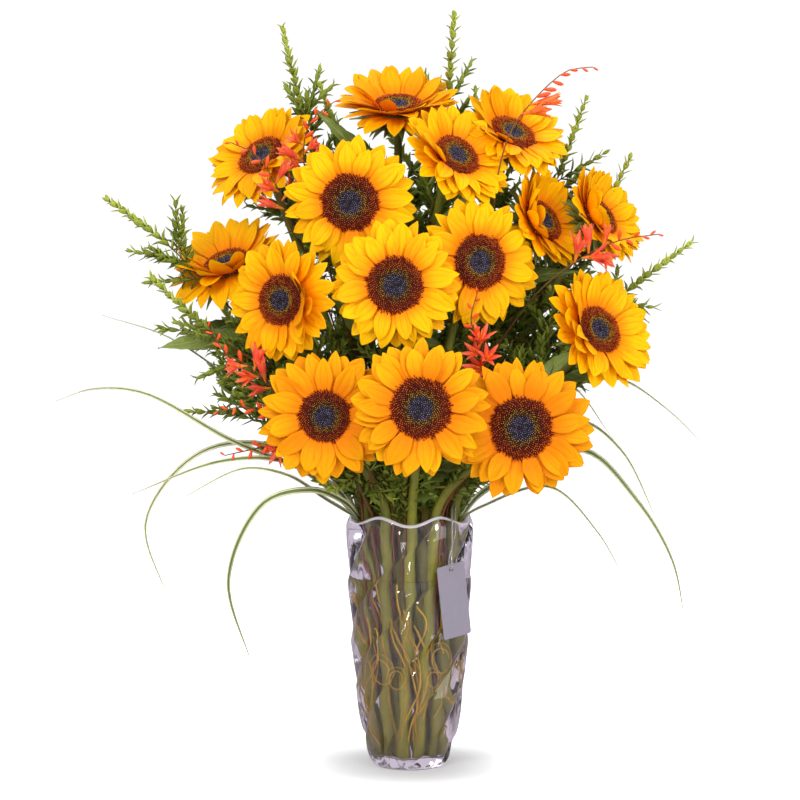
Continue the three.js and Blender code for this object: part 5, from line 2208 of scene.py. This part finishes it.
@dataclass
class BeadChain:
    """A fine bead chain: over the rim, through the tag's hole and back to the same stem."""

    tag: HangTag
    diameter: float = 0.0017
    bead_step: float = 2.1
    slack: float = 0.8
    bend: float = 3.2
    down: tuple[Place, ...] = (
        (0.0436, -0.0283, 0.2703), (0.0426, -0.0350, 0.2697), (0.0422, -0.0420, 0.2681),
        (0.0426, -0.0493, 0.2585), (0.0426, -0.0522, 0.2440),
    )
    back: tuple[Place, ...] = (
        (0.0456, -0.0492, 0.2440), (0.0458, -0.0461, 0.2585), (0.0457, -0.0400, 0.2683),
        (0.0461, -0.0346, 0.2697), (0.0469, -0.0282, 0.2703),
    )

    def route(self) -> list[Vector]:
        """Draws the chain's way.

        Returns:
            Its points, in millimetres.
        """
        place = self.tag.frame()
        seat = self.tag.height / 2 - self.tag.hole_drop + self.tag.hole - self.diameter / MM / 2 - self.slack
        loop = [place @ Vector((0, seat + 11, self.bend + 1.2))]
        for share in (-0.5, -0.25, 0, 0.25, 0.5):
            angle = math.pi * share
            loop.append(place @ Vector((0, seat + self.bend * (1 - math.cos(angle)), -math.sin(angle) * self.bend)))
        loop.append(place @ Vector((0.4, seat + 11, -self.bend + 1.4)))
        ends = [[Vector(point) / MM for point in side] for side in (self.down, self.back)]
        return spline([*ends[0], *loop, *ends[1]], 160)

    def build(self, material: bpy.types.Material, card: bpy.types.Object) -> None:
        """Builds the chain.

        Args:
            material: The beads' finish.
            card: The tag that hangs on it; not used.
        """
        route = self.route()
        radius = self.diameter / MM / 2
        beads = round(length_of(route) / self.bead_step)
        bm = bmesh.new()
        bmesh.ops.create_uvsphere(bm, u_segments=8, v_segments=6, radius=radius)
        bead = mesh_from(bm)
        sheaf = Sheaf("bead_chain", [material])
        sheaf.add(tapered(route, radius * 0.4, radius * 0.4, 5))
        for place in frames_along(spaced(route, beads)):
            sheaf.add(bead, place)
        chain = sheaf.finish(Slot.TAG_CHAIN, ["tag_cord"])
        path = [tuple(point * MM) for point in route]
        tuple(self.down[0])
        length_of(route) * MM


# ---- studio


@dataclass
class Studio:
    """A pale floor, soft light from the front and a camera at the photograph's angle."""

    eye: Vector = field(default_factory=lambda: Vector((-0.010, -2.5, 0.508)))
    target: Vector = field(default_factory=lambda: Vector((-0.010, -0.060, 0.380)))
    focal_pixels: float = 2440
    frame_pixels: float = 800
    sensor: float = 36

    def camera(self) -> None:
        """Sets up the camera."""
        lens = bpy.data.cameras.new("camera")
        lens.sensor_width = self.sensor
        lens.lens = self.sensor * self.focal_pixels / self.frame_pixels
        lens.clip_end = 50
        bpy.context.scene.camera = self.stand("camera", lens, self.eye, self.target)

    @staticmethod
    def stand(name: str, data: bpy.types.ID, place: Sequence[float], aim: Sequence[float]) -> bpy.types.Object:
        """Stands a camera or a lamp at its place, turned to its aim.

        Args:
            name: Its name.
            data: The camera's or the lamp's own settings.
            place: Where it stands.
            aim: The point it faces.

        Returns:
            The camera or the lamp.
        """
        thing = linked(name, data)
        thing.location = place
        thing.rotation_euler = (Vector(aim) - Vector(place)).to_track_quat("-Z", "Y").to_euler()
        return thing

    def lamp(self, name: str, place: Place, aim: Place, size: float, power: float,
             height: float | None = None) -> None:
        """Adds a soft lamp.

        Args:
            name: The lamp's name.
            place: Where it stands.
            aim: The point it faces.
            size: Its width.
            power: Its power in watts.
            height: Its height, where it isn't square.
        """
        light = bpy.data.lights.new(name, "AREA")
        light.shape = "RECTANGLE"
        light.size = size
        light.size_y = height or size
        light.energy = power
        self.stand(name, light, place, aim)

    @staticmethod
    def floor() -> None:
        """Lays the floor, which shows the soft shadow at the vase's foot and is greyer through the glass."""
        bm = bmesh.new()
        bmesh.ops.create_circle(bm, cap_ends=True, segments=96, radius=8.0)
        floor = linked("floor", data_of("floor", bm))
        floor.data.materials.append(PaperFinish().material())

    @staticmethod
    def sky() -> None:
        """Lights the studio from all round, and shows white behind the object."""
        world = bpy.data.worlds.new("white_studio")
        world.use_nodes = True
        graph = Graph(world.node_tree)
        height = graph.out(2, "ShaderNodeSeparateXYZ", {0: graph.out("Generated", "ShaderNodeTexCoord")})
        white = graph.background((1, 1, 1, 1), 1.05)
        soft = graph.background((0.98, 0.98, 1, 1), 0.38)
        mirrored = graph.background((0.94, 0.9, 0.97, 1), graph.rise(height, 0.35, 0.7) * 1.2 + 0.35)
        refracted = graph.background((0.86, 0.78, 0.9, 1), 0.75)
        hidden = graph.blend(graph.ray("Is Glossy Ray"), soft, mirrored)
        lit = graph.math("MINIMUM", graph.ray("Diffuse Depth"), 1.0)
        hidden = graph.blend(graph.ray("Is Transmission Ray") * (1.0 - lit), hidden, refracted)
        graph.add("ShaderNodeOutputWorld", {"Surface": graph.blend(graph.ray("Is Camera Ray"), hidden, white)})
        bpy.context.scene.world = world

    def build(self) -> None:
        """Sets up the camera, the floor and the light."""
        self.camera()
        self.floor()
        self.sky()
        self.lamp("key_lamp", (-1.3, -2.0, 2.0), (0, 0, 0.45), 1.2, 31)
        self.lamp("fill_lamp", (1.7, -1.8, 1.0), (0, 0, 0.45), 1.4, 25)
        self.lamp("top_lamp", (0.2, 0.6, 2.4), (0, 0, 0.4), 1.2, 12)
        self.lamp("back_lamp", (-1.2, 2.0, 1.5), (0, 0, 0.4), 1.4, 9)
        self.lamp("strip_lamp", (0, -0.9, 1.9), (0, 0, 0.3), 3.0, 7, 0.12)
        for i, place in enumerate(((-1.1, -1.5, 0.9), (0.9, -1.6, 1.2), (-0.5, -2.1, 0.35), (0.45, -2.0, 0.7))):
            self.lamp(f"glint_{i}", place, (0, 0, 0.15), 0.13, 2.5)
        bpy.context.scene.view_settings.view_transform = "Standard"


# ---- assembly


def main() -> None:
    """Builds everything in order."""
    logging.basicConfig(level=logging.INFO, format="%(name)s: %(message)s")
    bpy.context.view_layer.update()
    Studio().build()
    build_shared_effects()

    tag = HangTag()
    card = tag.dress(CardFinish().material())
    BeadChain(tag).build(ChainFinish().material(), card)

    vase = Vase()
    vase.build()
    Water(vase).build()

    bunch = Bunch()
    petal, floret = PetalFinish().material(), DiscFinish().material()
    green, stalk = SUNFLOWER_GREEN.material(), SUNFLOWER_STALK.material()
    floret_shapes = SeedDisc.floret_shapes()
    for number, head in enumerate(HEADS, 1):
        PetalCrown(head, number).build(petal)
        SeedDisc(head, number).build(floret_shapes, floret)
        SunflowerStem(head, number, bunch).build(green, stalk)

    Myrtle(bunch).build(MYRTLE_GREEN.material(), MYRTLE_STALK.material())
    Crocosmia(bunch).build(TrumpetFinish().material(), CROCOSMIA_STALK.material())
    StripedGrass(bunch).build(GrassFinish().material(), stalk)
    CurlyTwigs(vase).build(TWIG_BARK.material())


if __name__ == "__main__":
    main()
